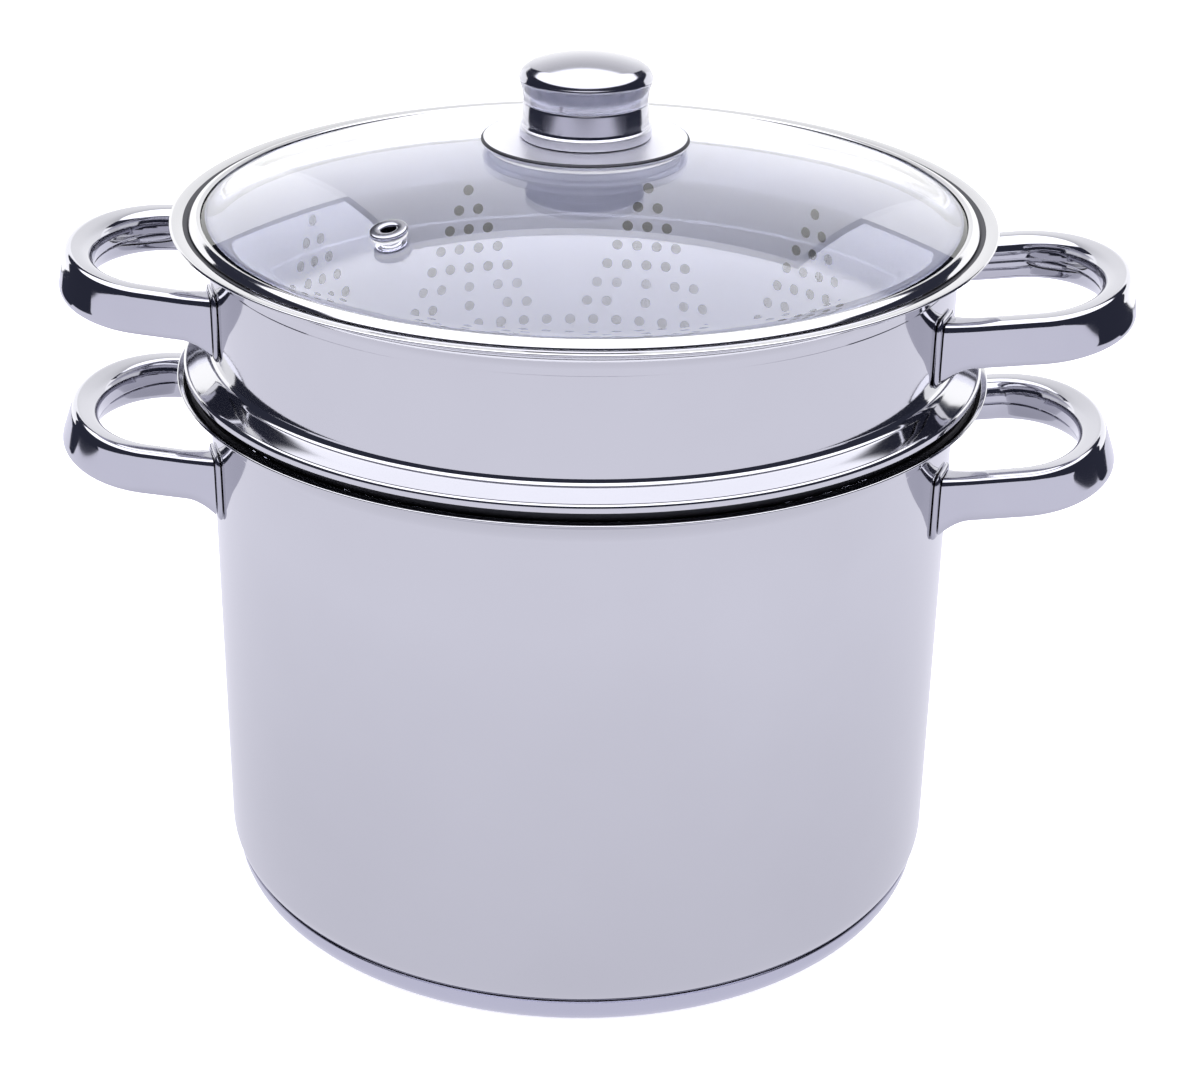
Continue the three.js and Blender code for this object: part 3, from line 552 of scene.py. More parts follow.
def colanderParts(v):
    # one folded sheet: rim, flare, collar, shoulder, basket wall and floor, with holes through wall and floor
    t, corner, pitch = v["sheet"], v["basketCorner"], v["rowPitch"]
    wide, high = v["rimFlareWidth"], v["rimFlareHeight"]
    flareStart = rimTop - t - high
    flareAt, flareSpan = (rimRadius, flareStart), (wide + t, high + t)
    bandLow = topRow - (v["ringRow"] - v["openRow"]) * pitch - v["bandBelow"]
    outerTop = topRow + v["holeRadius"] + v["outerAbove"]
    innerTop = topRow + pitch + v["innerAbove"]
    collarLow = topRow + 2 * pitch - v["collarBelow"]
    collarHigh = topRow + 3 * pitch + v["collarAbove"]
    hemLow = shoulderBase + v["hemUnder"]
    hemTop = hemLow + v["hemFace"]
    seatOut = shoulderRadius - v["hemOverhang"]
    seatIn = seatOut - v["seatWidth"]
    hemTurn = [shoulderRadius - v["hemEdge"], hemLow]
    rise, shift = v["foldRise"], v["wallShift"]
    fold = softCorners(
        [[basketRadius, outerTop], [basketRadius, hemLow + rise], [seatIn - v["foldSlope"], hemLow - rise],
         [seatIn, lipHeight(seatIn) + seatGap], [seatOut, lipHeight(seatOut) + seatGap],
         [seatOut, hemLow - shift], hemTurn], [0.5, 0.6, 0.4, 0.4, 0.6])
    outer = np.concatenate([
        softCorners(
            [hemTurn, [shoulderRadius, hemLow], [shoulderRadius, hemTop],
             [collarRadius, hemTop + v["slopeFall"]], [collarRadius, flareStart - 3 * v["crease"]]],
            [0.4, 1.2, 2.4]),
        creaseLine(collarRadius, flareStart, v),
        arcPoints(flareAt, (wide, high), 180, 90, 20),
        arcPoints((rimRadius, rimTop - t / 2), t / 2, -90, 90, 9),
        arcPoints(flareAt, flareSpan, 90, 90 + v["rimShine"], 8)])
    # from the end of the polished arc to a little past the band's edge, the flare's upper face is painted shade
    covered = math.degrees(math.asin((rimRadius - bandRadius + v["underBand"]) / (wide + t)))
    seat = arcPoints(flareAt, flareSpan, 90 + v["rimShine"], 90 + covered, 6)
    flareIn = arcPoints(flareAt, flareSpan, 90 + covered, 180, 16)
    face, ease = basketRadius - t, v["stepEase"]
    collarIn = face + v["innerStep"]
    neck = smoothThrough([[collarRadius - t, flareStart], [collarRadius - t - shift, flareStart - v["neckEase"]],
                          [collarIn + shift, collarHigh + v["neckEase"]], [collarIn, collarHigh]], 5)
    step = softCorners([[collarIn, collarLow], [collarIn, collarLow - ease], [face, innerTop + ease],
                        [face, innerTop]], [0.4, 0.4])
    cornerAt = (basketRadius - corner, basketUnder + corner)
    innerLow = np.concatenate([[[face, bandLow]], arcPoints(cornerAt, corner - t, 0, -90)])
    outerLow = np.concatenate([[[basketRadius, bandLow]], arcPoints(cornerAt, corner, 0, -90)])

    def lathe(profile):
        return revolve(spaced(profile, fineStep), start=seamDegrees)

    parts = [lathe(profile) for profile in (outer, flareIn, outerLow)]
    # fold and seat are near-black painted shade: the hem's underside over the pot's lip and the flare under the lid's
    # band
    parts += [(*revolve(profile, start=seamDegrees), 2) for profile in (fold, seat)]
    # the colander's upper inside (neck, step, inner wall and collar) takes the satin with painted light
    parts += [(*lathe(profile), 1) for profile in (neck, step)]
    # the basket's inside below the band is in the darkened satin: painted shade
    parts += [(*lathe(innerLow), 3)]

    # walls: the basket's inside and outside share the open holes, the collar's inside has blind ones only
    holes = wallHoles(v)
    row, sides = holes[:, 2], v["holeSides"]
    onBasket, isOpen = row >= v["collarRows"], row >= v["openRow"]
    grid = v["gridRows"]
    inner, rims = wallSheet(bandLow, innerTop, grid["inner"], holes[onBasket], face, v)
    through = rims[isOpen[onBasket]].reshape(-1, 2)
    parts.append((*inner, 1))
    parts.append(holeWalls(rolled(through, face), rolled(through, basketRadius), sides))
    parts += blindHoles(rims[~isOpen[onBasket]], face, v)
    parts.append(wallSheet(bandLow, outerTop, grid["outer"], holes[isOpen], basketRadius, v)[0])
    collar, rims = wallSheet(collarLow, collarHigh, grid["collar"], holes[~onBasket], collarIn, v)
    parts.append((*collar, 1))
    parts += blindHoles(rims, collarIn, v)

    # floor: a disc with rings of holes, pierced on both faces at the same places
    rings = np.arange(1, v["floorRings"] + 1)
    counts = rings * v["floorRingStep"]
    ring = np.repeat(rings, counts)
    order = np.concatenate([np.arange(n) for n in counts])
    angle = order / np.repeat(counts, counts) * 2 * np.pi + math.radians(colanderTurn)
    centres = np.concatenate([[[0.0, 0.0]], around(ring, angle) * v["floorRingPitch"]])
    border = around(basketRadius - corner, seam + fullTurn(turnSteps))
    radii = np.linspace(v["floorGrid"], basketRadius - corner - v["floorGrid"] / 2, 18)
    spots = np.maximum((radii * 2 * np.pi / v["floorGrid"]).astype(int), 6)
    spread = np.concatenate([fullTurn(n) for n in spots])
    inside = around(np.repeat(radii, spots), spread)
    flat, cells, circles = pierced(border, inside, centres, v["holeRadius"], sides)
    circles = circles.reshape(-1, 2)

    def level(points, z):
        return np.column_stack([points, np.full(len(points), z)])

    # the floor's upper face is in the darkened satin: painted shade
    parts.append((level(flat, basketUnder + t), cells, 3))
    parts.append((level(flat, basketUnder), cells))
    parts.append(holeWalls(level(circles, basketUnder + t), level(circles, basketUnder), sides))
    return parts


layPiece("colanderShell", colanderParts(colanderValues), "polishedSteel satinSteel dullSteel innerSteel",
         "colander", "colander_shell")
print("colander: folded shell with %d wall holes" % len(wallHoles(colanderValues)))


# handles and their plates

handleValues = {
    "reach": 170.5, "sideways": {"pot": 1.5, "colander": 3.0}, "twist": {"pot": 13.5, "colander": 6.5},
    "halfSpacing": 39.0, "bend": 33.0, "outward": 4.6, "inward": 5.4, "halfHeight": 7.5,
    "outerPower": 6.0, "innerPower": 2.6, "tilt": 6.3, "tiltReach": 20.0, "footFlare": 4.0, "footRise": 0.8,
    "footReach": 9.0, "footSpread": 1.2, "seamDepth": 0.3, "seamWidth": 0.35, "seamSpan": 0.12, "sharp": 50.0,
    "plateThickness": 1.2, "plateWidth": 16.0, "plateHeight": 22.0, "plateLower": 2.0, "plateSquareness": 7.0,
    "plateFlat": 0.86, "plateFall": 0.9}


def handleSection(v):
    # a squarish oval: flatter outside, rounder inside, with a fine seam along the middle of the inside
    close = np.pi + np.linspace(-v["seamSpan"], v["seamSpan"], 17)
    t = np.concatenate([np.linspace(-np.pi, np.pi, 64, endpoint=False), close])
    t = np.unique(np.round(np.mod(t, 2 * np.pi), 6))
    c, s = np.cos(t), np.sin(t)
    power = np.where(c >= 0, v["outerPower"], v["innerPower"])
    half = np.where(c >= 0, v["outward"], v["inward"])
    across = half * signedPower(c, 2 / power)
    up = v["halfHeight"] * signedPower(s, 2 / power)
    dent = v["seamDepth"] * np.exp(-(up / v["seamWidth"]) ** 2)
    return across + np.where(c < 0, dent, 0), up


def handleLoop(v, wallRadius, height, reach, twist):
    # the section carried along a leg, a half oval and the other leg; each leg ends on the plate's round face,
    # and the section lies back towards the tip with the square of the cosine along the oval
    across, up = handleSection(v)
    seat = wallRadius + 2 * seatGap + v["plateThickness"]
    bendAt = reach - v["bend"]
    tip = reach - v["outward"] - bendAt
    phi = np.linspace(-np.pi / 2, np.pi / 2, 97)[:, None]
    normal = np.stack([np.cos(phi) / tip, np.sin(phi) / v["halfSpacing"]], -1)
    normal = normal / np.linalg.norm(normal, axis=-1, keepdims=True)
    lay = math.radians(twist) * np.cos(phi) ** 2
    bendOut = across * np.cos(lay) - up * np.sin(lay)
    bendUp = across * np.sin(lay) + up * np.cos(lay)
    bendX = bendAt + tip * np.cos(phi) + normal[..., 0] * bendOut
    bendY = v["halfSpacing"] * np.sin(phi) + normal[..., 1] * bendOut
    share = np.linspace(0, 1, 34)[:, None]
    legY = v["halfSpacing"] + across
    root = np.sqrt(seat ** 2 - legY ** 2)
    legX = root + (bendAt - root) * share
    near = np.clip(1 - (legX - root) / v["footReach"], 0, 1) ** 2
    sideways = legY + near * v["footSpread"] * across / v["outward"]
    drop = up + near * np.where(up < 0, v["footFlare"], v["footRise"]) * up / v["halfHeight"]
    root = np.sqrt(seat ** 2 - sideways ** 2)
    legX = root + (bendAt - root) * share
    x = np.concatenate([legX, bendX[1:-1], legX[::-1]])
    y = np.concatenate([-sideways, bendY[1:-1], sideways[::-1]])
    h = np.concatenate([drop, bendUp[1:-1], drop[::-1]])
    lean = math.radians(v["tilt"])
    z = height + h * math.cos(lean) + (x - wallRadius) * math.tan(lean)
    points = np.stack([x - h * math.sin(lean) * np.clip((x - seat) / v["tiltReach"], 0, 1), y, z], -1)
    ends = fans(points[[0, -1]].reshape(-1, 3), len(up))
    return [(points.reshape(-1, 3), gridFaces(*x.shape, False, True)), ends]


def handlePlate(v, wallRadius, height, legAngle):
    # a squarish pad bent round the wall: outline a superellipse, thickness falling off towards its edge
    theta = fullTurn(96)[None, :]
    flat, edge = v["plateFlat"], 1 - v["plateFlat"]
    out = np.concatenate([np.linspace(0, flat, 8), flat + edge * np.sin(np.linspace(0, np.pi / 2, 9)[1:])])[:, None]
    power = 2 / v["plateSquareness"]
    along = v["plateWidth"] / 2 * signedPower(np.cos(theta), power)
    tall = v["plateHeight"] / 2 * signedPower(np.sin(theta), power)
    thick = v["plateThickness"] * np.sqrt(1 - np.clip((out - flat) / edge, 0, 1) ** 2 * v["plateFall"])
    back = wallRadius + seatGap
    face = np.concatenate([np.broadcast_to(back + thick, (len(out), theta.size)),
                           np.full((1, theta.size), back), np.full((1, theta.size), back)])
    reach = np.concatenate([out, [[1.0]], [[0.0]]])
    turn = legAngle + reach * along / wallRadius
    points = around(face, turn, height - v["plateLower"] + reach * tall)
    return [(points.reshape(-1, 3), gridFaces(len(reach), theta.size, False, True))]


def layHandles(v, vessel, wallRadius, height, turn):
    # right and left loops with two plates each
    legAngle = math.asin(v["halfSpacing"] / wallRadius)
    more, twist = v["sideways"][vessel], v["twist"][vessel]
    for side, spin, reach in (("right", turn, v["reach"] + more), ("left", turn + 180, v["reach"] - more)):
        loop = turned(handleLoop(v, wallRadius, height, reach, twist), spin)
        layPiece(vessel + "Handle" + side.title(), loop, "handleSteel", vessel, f"{vessel}_handle_{side}",
                 v["sharp"])
        order = ("front", "rear") if side == "right" else ("rear", "front")
        for place, angle in zip(order, (-legAngle, legAngle)):
            layPiece(f"{vessel}HandlePlate{side.title()}{place.title()}",
                     turned(handlePlate(v, wallRadius, height, angle), spin), "plateSteel",
                     vessel, f"{vessel}_handle_plate_{side}_{place}")


def plateMiddle(node, v):
    # height of a handle's middle over the middle of its plate
    low, high = np.array(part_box(node)) / mm
    return (low[2] + high[2]) / 2 + v["plateLower"]


layHandles(handleValues, "pot", potRadius, plateMiddle("pot_handle_plate_right_front", handleValues), 0.0)
layHandles(handleValues, "colander", collarRadius, plateMiddle("colander_handle_plate_right_front", handleValues),
           colanderTurn)
print("handles: four loops and eight plates")


# lid

lidValues = {
    "thickness": 4.0, "rise": 20.3, "bandWidth": 2.7, "bandSheet": 0.5, "bandLap": 1.0, "bandCrown": 0.5,
    "bandRound": 1.0, "bandFoot": 0.5, "bandBead": 0.1, "edgeRound": 1.2, "edgeFall": 0.1, "seatInset": 1.5,
    "seatSlope": 3.0, "screwHole": 2.9, "ventDistance": 85.5, "ventAngle": -127.3}
bandInner = bandRadius - lidValues["bandWidth"]
domeRadius = (bandInner ** 2 + lidValues["rise"] ** 2) / (2 * lidValues["rise"])
domeTop = glassTop + domeRadius - math.sqrt(domeRadius ** 2 - lidValues["screwHole"] ** 2)


def domeHeight(radius):
    # upper face of the glass: a cap of a large ball
    return domeTop - domeRadius + np.sqrt(domeRadius ** 2 - np.asarray(radius, float) ** 2)


def glassProfile(v):
    # upper dome, rounded edge, flat underside over the band, lower dome, and the hole for the screw
    t, soft = v["thickness"], glassRadius - v["edgeRound"]
    under = bandInner - seatGap - v["seatInset"]
    foot = under - v["seatSlope"]
    over = v["bandSheet"] + 2 * seatGap
    upper, lower = np.linspace(v["screwHole"], soft, 44), np.linspace(foot, v["screwHole"], 40)
    rim = softCorners(
        [[soft, domeHeight(soft)], [glassRadius, domeHeight(glassRadius) - v["edgeFall"]],
         [glassRadius, flareHeight(glassRadius) + over], [under, flareHeight(bandInner) + over],
         [foot, domeHeight(foot) - t]], [0.8, 0.8, 1.5])
    return np.concatenate([np.stack([upper, domeHeight(upper)], 1), rim[1:-1],
                           np.stack([lower, domeHeight(lower) - t], 1)])


def atVent(part):
    # a part made upright at the origin, set square to the dome: a tilt, a turn about the axis and a step out
    points, faces = part
    out, angle = lidValues["ventDistance"], math.radians(lidValues["ventAngle"] + colanderTurn)
    spin = Matrix.Rotation(angle, 3, "Z") @ Matrix.Rotation(math.asin(out / domeRadius), 3, "Y")
    return points @ np.array(spin).T + around(out, angle, domeHeight(out)), faces


ventValues = {"bore": 2.2, "tube": 3.0, "flange": 5.7, "flangeHeight": 1.5, "tail": 0.9, "tailInset": 1.0,
              "gasket": 0.8, "gasketSoft": 0.25, "drillLow": -12.0, "drillHigh": 8.0, "drillSteps": 48}


def drillVent(glass, v):
    # the hole for the eyelet, cut with a plain round tool that is taken away again
    radius, low, high = v["tube"] + seatGap, v["drillLow"], v["drillHigh"]
    points, faces = atVent(revolve([[0, low], [radius, low], [radius, high], [0, high]], steps=v["drillSteps"]))
    mesh = bpy.data.meshes.new("ventDrill")
    mesh.from_pydata((points * mm).tolist(), [], faces.tolist())
    cleanMesh(mesh)
    drill = placed("ventDrill", mesh)
    cut = glass.modifiers.new("ventHole", "BOOLEAN")
    cut.operation, cut.solver, cut.object = "DIFFERENCE", "EXACT", drill
    evaluated = glass.evaluated_get(bpy.context.evaluated_depsgraph_get())
    glass.data = bpy.data.meshes.new_from_object(evaluated)
    glass.modifiers.clear()
    bpy.data.objects.remove(drill)
    smoothMesh(glass.data)


lidGlass = layPiece("lidGlass", [revolve(glassProfile(lidValues), True)], "clearGlass", "lid", "lid_glass")
drillVent(lidGlass, ventValues)


def bandProfile(v):
    # a folded strip round the edge of the glass: underside along the colander's flare, open channel inwards
    t, edge = v["bandSheet"], bandRadius + v["bandLap"]
    channel = bandRadius - t
    radii = np.linspace(bandInner, edge - v["bandFoot"], 5)
    under = np.stack([radii, flareHeight(radii) + seatGap], 1)

    def top(radius):
        return float(domeHeight(radius)) + seatGap

    bead, shoulder = v["bandBead"], t + v["bandCrown"]
    outerTurn, innerTurn = edge - v["bandRound"], bandInner + v["bandRound"]
    outside = softCorners(
        [under[-1], [edge, flareHeight(edge) + seatGap + bead], [edge, top(edge) + t * 0.2],
         [outerTurn, top(outerTurn) + shoulder], [innerTurn, top(innerTurn) + shoulder],
         [bandInner, top(bandInner) + t * 0.4], [bandInner - bead, top(bandInner)],
         [bandInner + v["bandFoot"], top(bandInner)]],
        [0.4, 0.7, 0.8, 0.8, 0.15, 0.1])
    inside = softCorners(
        [[glassRadius - v["bandFoot"], top(glassRadius - v["bandFoot"])], [channel, top(channel)],
         [channel, flareHeight(channel) + seatGap + t], [bandInner, flareHeight(bandInner) + seatGap + t]],
        [0.3, 0.3])
    return np.concatenate([under[:-1], outside, inside])


layPiece("lidRimBand", [revolve(bandProfile(lidValues), True)], "polishedSteel", "lid", "lid_rim_band")


def eyeletProfile(v):
    # a tube with a rolled flange above the glass and a thin flared one under it
    seat = v["gasket"] + 2 * seatGap
    under = -lidValues["thickness"] - seatGap
    tail = v["flange"] - v["tailInset"]
    outline = [[v["bore"], 0], [v["bore"], under - v["tail"]], [tail, under - v["tail"]], [tail, under],
               [v["tube"], under], [v["tube"], seat], [v["flange"], seat], [v["flange"], seat + v["flangeHeight"]],
               [v["bore"], seat + v["flangeHeight"]], [v["bore"], 0]]
    return softCorners(outline, [0.7, 0.4, 0.3, 0.2, 0.2, 0.5, 1.1, 1.0])[:-1]


layPiece("ventEyelet", [atVent(revolve(eyeletProfile(ventValues), True, smallSteps))], "knobSteel", "lid",
         "vent_eyelet")


def washerProfile(inner, outer, low, high, soft):
    # a flat ring with softened edges
    middle = (low + high) / 2
    return softCorners([[inner, middle], [inner, low], [outer, low], [outer, high], [inner, high], [inner, middle]],
                       [soft] * 4, 5)[:-1]


ventGasketShape = washerProfile(ventValues["tube"] + seatGap, ventValues["flange"] - seatGap, seatGap,
                                seatGap + ventValues["gasket"], ventValues["gasketSoft"])
layPiece("ventGasket", [atVent(revolve(ventGasketShape, True, smallSteps))], "siliconeRubber", "lid", "vent_gasket")
print("lid: glass, rim band and vent")


# knob

knobValues = {
    "discSheet": 1.0, "discRim": 2.0, "discTurns": (-125, 8, 78, 90), "hubRadius": 19.5, "hubHeight": 1.1,
    "dishCurve": ((1.0, 0.01), (5.0, 0.03)), "hubCurve": ((3.0, -0.04), (0.6, -0.02), (-1.0, 0)),
    "lipInset": 0.7, "lipDrop": 1.6, "waist": 19.5, "foot": 3.6, "footInset": 0.9, "footSoft": 0.1, "footStep": 0.5,
    "footGroove": 0.35, "joint": 0.15, "sheet": 0.8, "capSide": 6.8, "capShoulder": 4.2, "capTopRadius": 17.6,
    "capBend": ((0, 0), (0.25, 0.3), (1.2, 0.68)), "capCrown": 3.0, "gasketInner": 18.0, "washerSoft": 0.3}


def discProfile(v):
    # a shallow dish with a rolled rim that hangs below it, and a raised seat in the middle
    hole, half = lidValues["screwHole"], v["discRim"] / 2
    wall = discRadius - half
    flat = discTop - v["hubHeight"]
    top = flat + v["discSheet"]
    upper = smoothThrough([[wall - inset, top + rise] for inset, rise in v["dishCurve"]]
                          + [[v["hubRadius"] + out, discTop + rise] for out, rise in v["hubCurve"]], 6)
    turns = v["discTurns"]
    low, side, bright = [arcPoints((wall, top - half), half, *span, 9) for span in zip(turns, turns[1:])]
    lip = wall - half * v["lipInset"]
    rim = np.concatenate([[[hole, flat], [lip, flat], [lip, top - v["lipDrop"]]], low])
    return rim, side, np.concatenate([bright, upper, [[hole, discTop], [hole, flat]]])


discParts = [revolve(spaced(profile, fineStep), False, knobSteps) for profile in discProfile(knobValues)]
# the rim's outer side is near-black steel: a painted dark reflection
layPiece("knobBaseDisc", [discParts[0], (*discParts[1], 1), discParts[2]], "discSteel dullSteel",
         "lid", "knob_base_disc")


def neckProfile(v):
    # an upright foot ring, then a fine groove and a nearly straight side up to the joint, thin wall behind it
    waist, joint, foot = v["waist"], v["joint"], neckUnder + v["foot"]
    inner, groove = waist - v["sheet"], [waist + v["footGroove"], foot]
    corner, soft = [neckRadius - v["footInset"], neckUnder], v["footSoft"]
    ring = softCorners([corner, [neckRadius - soft, neckUnder + soft], [neckRadius, foot - v["footStep"]], groove],
                       [0.3, 0.5])
    side = softCorners([groove, [waist + joint, foot + 4 * joint], [waist, neckTop - 2 * joint],
                        [waist - joint, neckTop]], [0.4, 0.2])
    return ring, np.concatenate([side, [[inner, neckTop], [inner, neckUnder], corner]])


neckParts = [revolve(profile, False, knobSteps) for profile in neckProfile(knobValues)]
layPiece("knobNeck", [(*neckParts[0], 1), neckParts[1]], "knobSteel discSteel", "lid", "knob_neck")


def capProfile(v):
    # hollow side that widens upwards, rounded shoulder, and a low crown that falls with the square of the radius
    t, waist, joint, flat = v["sheet"], v["waist"], v["joint"], v["capTopRadius"]
    wide = knobUnder + v["capSide"]
    edge = wide + v["capShoulder"]
    shoulder = [[knobRadius - inset, wide + share * v["capShoulder"]] for inset, share in v["capBend"]]
    side = smoothThrough([[waist - joint, knobUnder], [waist, knobUnder + joint],
                          [waist + 2 * joint, knobUnder + v["capSide"] / 2], *shoulder, [flat, edge]], 8)
    radius = np.linspace(flat, 0, 18)[1:]
    crown = edge + v["capCrown"] * (1 - (radius / flat) ** 2)
    inside = np.array([[0, knobTop - t], [flat - t, edge - t], [knobRadius - t, wide], [waist - t, knobUnder]])
    return np.concatenate([side, np.stack([radius, crown], 1), inside])


layPiece("knobCap", [revolve(capProfile(knobValues), True, knobSteps)], "knobSteel", "lid", "knob_cap")

upperOuter, _, upperHigh = nodeSpan("knob_gasket_upper")
upperInner = knobValues["gasketInner"]
upperRadii = np.linspace(upperInner, upperOuter, 6)
upperGasketShape = np.concatenate([np.stack([upperRadii, domeHeight(upperRadii) + seatGap], 1),
                                   [[upperOuter, upperHigh], [upperInner, upperHigh]]])
layPiece("knobGasketUpper", [revolve(upperGasketShape, True, sealSteps)], "siliconeRubber", "lid", "knob_gasket_upper")


def layWasher(name, node, finish):
    # a flat ring about the screw, as wide and thick as its CAD node
    outer, low, high = nodeSpan(node)
    shape = washerProfile(lidValues["screwHole"], outer, low, high, knobValues["washerSoft"])
    layPiece(name, [revolve(shape, True, sealSteps)], finish, "lid", node)


layWasher("knobGasketLower", "knob_gasket_lower", "siliconeRubber")
layWasher("screwWasher", "screw_washer", "zincSteel")

screwHead, screwUnder, screwTip = nodeSpan("knob_screw")
screwValues = {"radius": 2.5, "headHeight": 3.0, "slotRadius": 1.6, "slotDepth": 1.4, "threadPitch": 0.8,
               "threadDepth": 0.25, "threadStart": 252.0, "threadGap": 0.2, "plainTip": 1.0,
               "tipTaper": 0.8}


def screwProfile(v):
    # a pan head with a round recess below, a plain shank, and a thread of shallow rings inside the knob
    top = screwUnder + v["headHeight"]
    z = np.arange(v["threadStart"], screwTip - v["plainTip"], v["threadPitch"] / 4)
    ring = v["radius"] - v["threadDepth"] * (0.5 - 0.5 * np.cos(2 * np.pi * (z - z[0]) / v["threadPitch"]))
    head = softCorners([[0, screwUnder + v["slotDepth"]], [v["slotRadius"], screwUnder + v["slotDepth"]],
                        [v["slotRadius"], screwUnder], [screwHead, screwUnder], [screwHead, top],
                        [v["radius"], top], [v["radius"], v["threadStart"] - v["threadGap"]]],
                       [0.2, 0.2, 1.6, 0.3, 0.2])
    return np.concatenate([head, np.stack([ring, z], 1), [[v["radius"] - v["tipTaper"], screwTip], [0, screwTip]]])


layPiece("knobScrew", [revolve(screwProfile(screwValues), False, smallSteps)], "zincSteel", "lid", "knob_screw")
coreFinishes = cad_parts["knob_core"].data.materials
coreFinishes.clear()
coreFinishes.append(bpy.data.materials["mouldedCore"])
print("knob: disc, neck, cap, seals and screw")


# floor, light and camera

stageValues = {
    "floorHalf": 6.0, "floorTone": (0.93, 0.93, 0.94, 1), "floorDull": 0.8, "floorGlow": 0.45,
    "cardHalves": (1.05, 0.80, 0.64), "cardEdges": (-1.4, -0.15, 0.26, 0.62), "cardUnder": -0.002,
    "cardTone": (0.98, 0.975, 1.10), "cardGlow": (0.87, 1.0), "potShadowFade": (0.15, 0.38),
    "midHalf": 0.27, "midHeight": 0.80, "midGlow": (1.3, 0.75), "midFade": (0.40, 0.80),
    "backHalf": 0.50, "backHeight": 0.53, "backGlow": (1.55, 1.55), "wingHalf": 1.05,
    "domeLow": 36.0, "domeHigh": 39.0, "domeTone": (2.4, 2.4, 2.5), "roomTone": (0.035, 0.038, 0.06),
    "throughTone": (3.9, 3.95, 4.4), "openTone": (1.9, 1.9, 1.95)}


def laySheet(name, corner, sideA, sideB, finish):
    # a flat grid: corner plus two shares of its sides
    share = np.linspace(0, 1, 9)
    a, b = np.meshgrid(share, share, indexing="ij")
    points = np.array(corner) + a[..., None] * np.array(sideA) + b[..., None] * np.array(sideB)
    mesh = bpy.data.meshes.new(name)
    mesh.from_pydata(points.reshape(-1, 3).tolist(), [], gridFaces(9, 9).tolist())
    mesh.materials.append(bpy.data.materials[finish])
    sheet = placed(name, mesh)
    return sheet


def layCard(*sheet):
    # a sheet that only reflections show
    card = laySheet(*sheet)
    card.visible_camera = card.visible_diffuse = card.visible_shadow = False


def glowFinish(name, tone, strength, fade, measure):
    # light that changes from the first to the second strength between two heights, or two distances from the axis
    tree = emptyFinish(name)
    place = addNode(tree, "TexCoord")
    part = addNode(tree, "VectorMath", {"operation": "MULTIPLY"})
    part.inputs[1].default_value = {"height": (0, 0, 1), "distance": (1, 1, 0)}[measure]
    size = addNode(tree, "VectorMath", {"operation": "LENGTH"})
    ramp = addNode(tree, "MapRange", From_Min=fade[0], From_Max=fade[1], To_Min=strength[0], To_Max=strength[1])
    glow = addNode(tree, "Emission", Color=(*tone, 1))
    out = addNode(tree, "OutputMaterial")
    wire(tree, (place, "Object", part, 0), (part, 0, size, 0), (size, "Value", ramp, "Value"),
         (ramp, "Result", glow, "Strength"), (glow, 0, out, "Surface"))


def layRoom(v):
    # the room around: bright overhead and dark below, evenly bright for what shines in through the glass,
    # and plain pale for what is seen or lit directly
    world = bpy.data.worlds.new("studio")
    bpy.context.scene.world = world
    world.use_nodes = True
    tree = world.node_tree
    tree.nodes.clear()
    place = addNode(tree, "TexCoord")
    split = addNode(tree, "SeparateXYZ")
    low, high = [math.sin(math.radians(v[edge])) for edge in ("domeLow", "domeHigh")]
    ramp = addNode(tree, "MapRange", {"interpolation_type": "SMOOTHSTEP"}, From_Min=low, From_Max=high)
    path = addNode(tree, "LightPath")
    direct = addNode(tree, "Math", {"operation": "MAXIMUM"})
    surround = addNode(tree, "Background")
    out = addNode(tree, "OutputWorld")
    wire(tree, (place, "Generated", split, 0), (split, "Z", ramp, "Value"),
         (path, "Is Camera Ray", direct, 0), (path, "Is Diffuse Ray", direct, 1))
    below = None
    for share, output, tone in ((ramp, "Result", "domeTone"), (path, "Is Transmission Ray", "throughTone"),
                                (direct, 0, "openTone")):
        mix = addNode(tree, "Mix", {"data_type": "RGBA"})
        mix.inputs[6].default_value = (*v["roomTone"], 1)
        mix.inputs[7].default_value = (*v[tone], 1)
        wire(tree, (share, output, mix, 0))
        if below:
            wire(tree, (below, 2, mix, 6))
        below = mix
    wire(tree, (below, 2, surround, "Color"), (surround, 0, out, "Surface"))


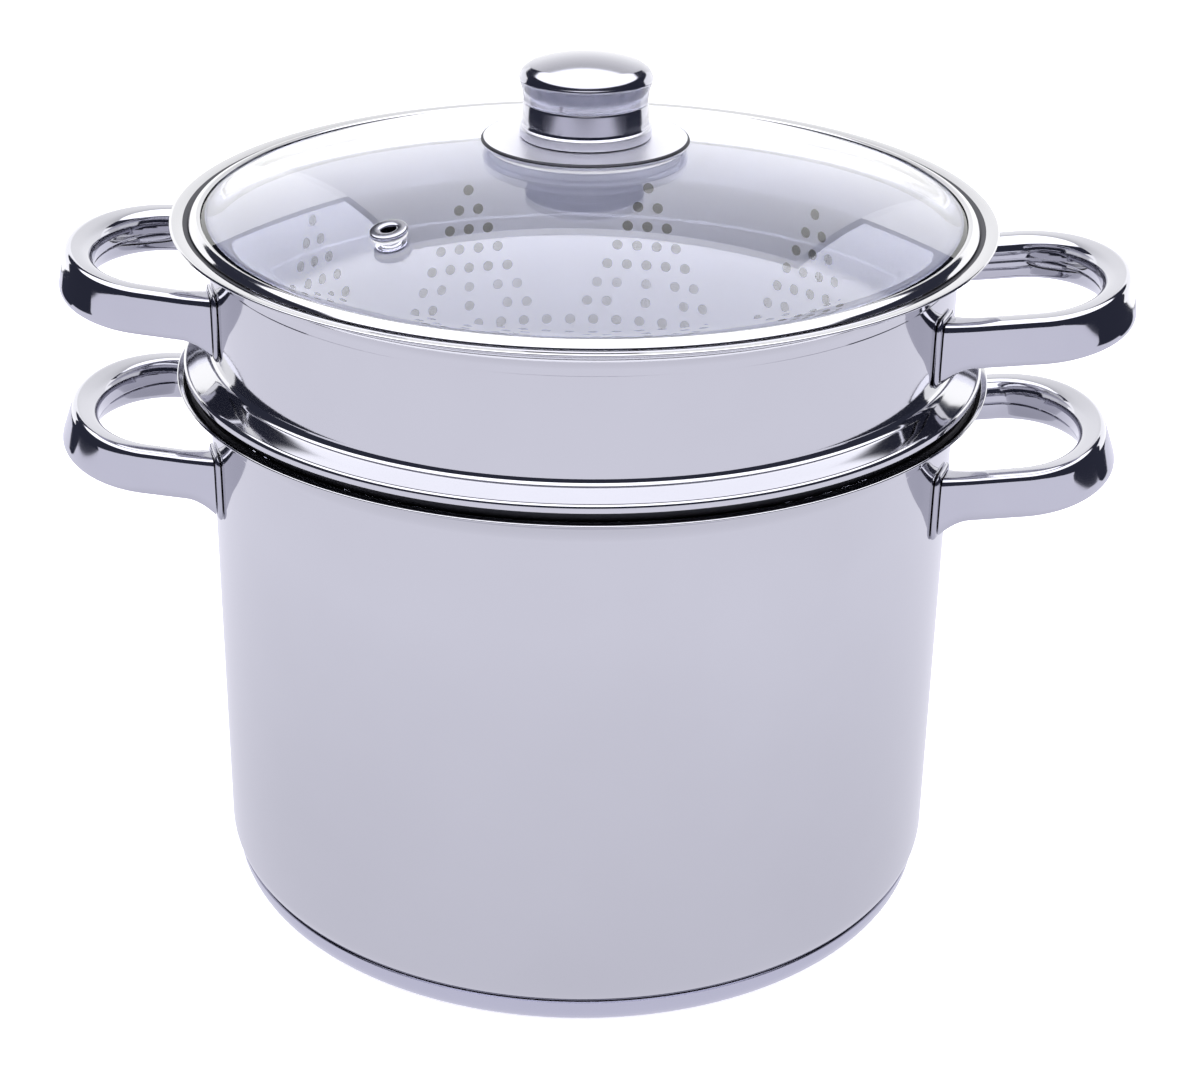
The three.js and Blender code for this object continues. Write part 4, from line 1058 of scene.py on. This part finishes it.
def layStage(v):
    # a pale floor, and cards that only reflections show: three on the floor, five upright ones behind
    floorFinish = bpy.data.materials.new("paleFloor")
    floorFinish.use_nodes = True
    sockets = floorFinish.node_tree.nodes["Principled BSDF"].inputs
    sockets["Base Color"].default_value = v["floorTone"]
    sockets["Roughness"].default_value = v["floorDull"]
    sockets["Emission Color"].default_value = (1, 1, 1, 1)
    sockets["Emission Strength"].default_value = v["floorGlow"]
    half = v["floorHalf"]
    floor = laySheet("paleFloor", (-half, -half, 0), (2 * half, 0, 0), (0, 2 * half, 0), "paleFloor")
    floor.visible_glossy = False
    white = (1, 1, 1)
    # the low cards dim towards the axis: a painted shadow of the pot on the floor that they stand for in reflections
    glowFinish("lowCardGlow", v["cardTone"], v["cardGlow"], v["potShadowFade"], "distance")
    glowFinish("backCardGlow", white, v["backGlow"], v["midFade"], "height")
    glowFinish("midCardGlow", white, v["midGlow"], v["midFade"], "height")
    edges, lowNames = v["cardEdges"], ("lowCard", "lowBackCard", "lowEndCard")
    for name, wide, front, rear in zip(lowNames, v["cardHalves"], edges, edges[1:]):
        layCard(name, (-wide, front, v["cardUnder"]), (2 * wide, 0, 0), (0, rear - front, 0), "lowCardGlow")
    middle, back, wing = v["midHalf"], v["backHalf"], v["wingHalf"]
    layCard("midCard", (-middle, rear, 0), (2 * middle, 0, 0), (0, 0, v["midHeight"]), "midCardGlow")
    for side, word in ((-1, "Left"), (1, "Right")):
        for name, near, far in (("backCard", middle, back), ("wingCard", back, wing)):
            layCard(name + word, (side * near, rear, 0), (side * (far - near), 0, 0), (0, 0, v["backHeight"]),
                    "backCardGlow")
    layRoom(v)
    bpy.context.scene.view_settings.view_transform = "Standard"


layStage(stageValues)

cameraValues = {"distance": 0.775, "target": (0, 0, 0.130), "azimuth": 2.0, "elevation": 24.35, "roll": 0.76,
                "focal": 2330.0, "centre": (580.8, 486.5), "frame": (1200.0, 1071.0), "sensor": 36.0, "near": 0.05}


def setCamera(v):
    # on a circle round the object, looking at the target; the roll turns the picture, the shift sets it in the frame
    a, e = math.radians(v["azimuth"]), math.radians(v["elevation"])
    outward = Vector((math.sin(a) * math.cos(e), -math.cos(a) * math.cos(e), math.sin(e)))
    right = Vector((math.cos(a), math.sin(a), 0))
    up = outward.cross(right)
    c, s = math.cos(math.radians(v["roll"])), math.sin(math.radians(v["roll"]))
    right, up = c * right + s * up, c * up - s * right
    data = bpy.data.cameras.new("photoCamera")
    data.sensor_fit = "HORIZONTAL"
    data.sensor_width = v["sensor"]
    data.lens = v["focal"] * v["sensor"] / v["frame"][0]
    data.shift_x = (v["frame"][0] / 2 - v["centre"][0]) / v["frame"][0]
    data.shift_y = (v["centre"][1] - v["frame"][1] / 2) / v["frame"][0]
    data.clip_start = v["near"]
    camera = placed("photoCamera", data)
    turn = Matrix((right, up, outward)).transposed().to_4x4()
    camera.matrix_world = Matrix.Translation(Vector(v["target"]) + outward * v["distance"]) @ turn
    bpy.context.scene.camera = camera


setCamera(cameraValues)
print("stage: floor, cards and camera")

bpy.context.view_layer.update()
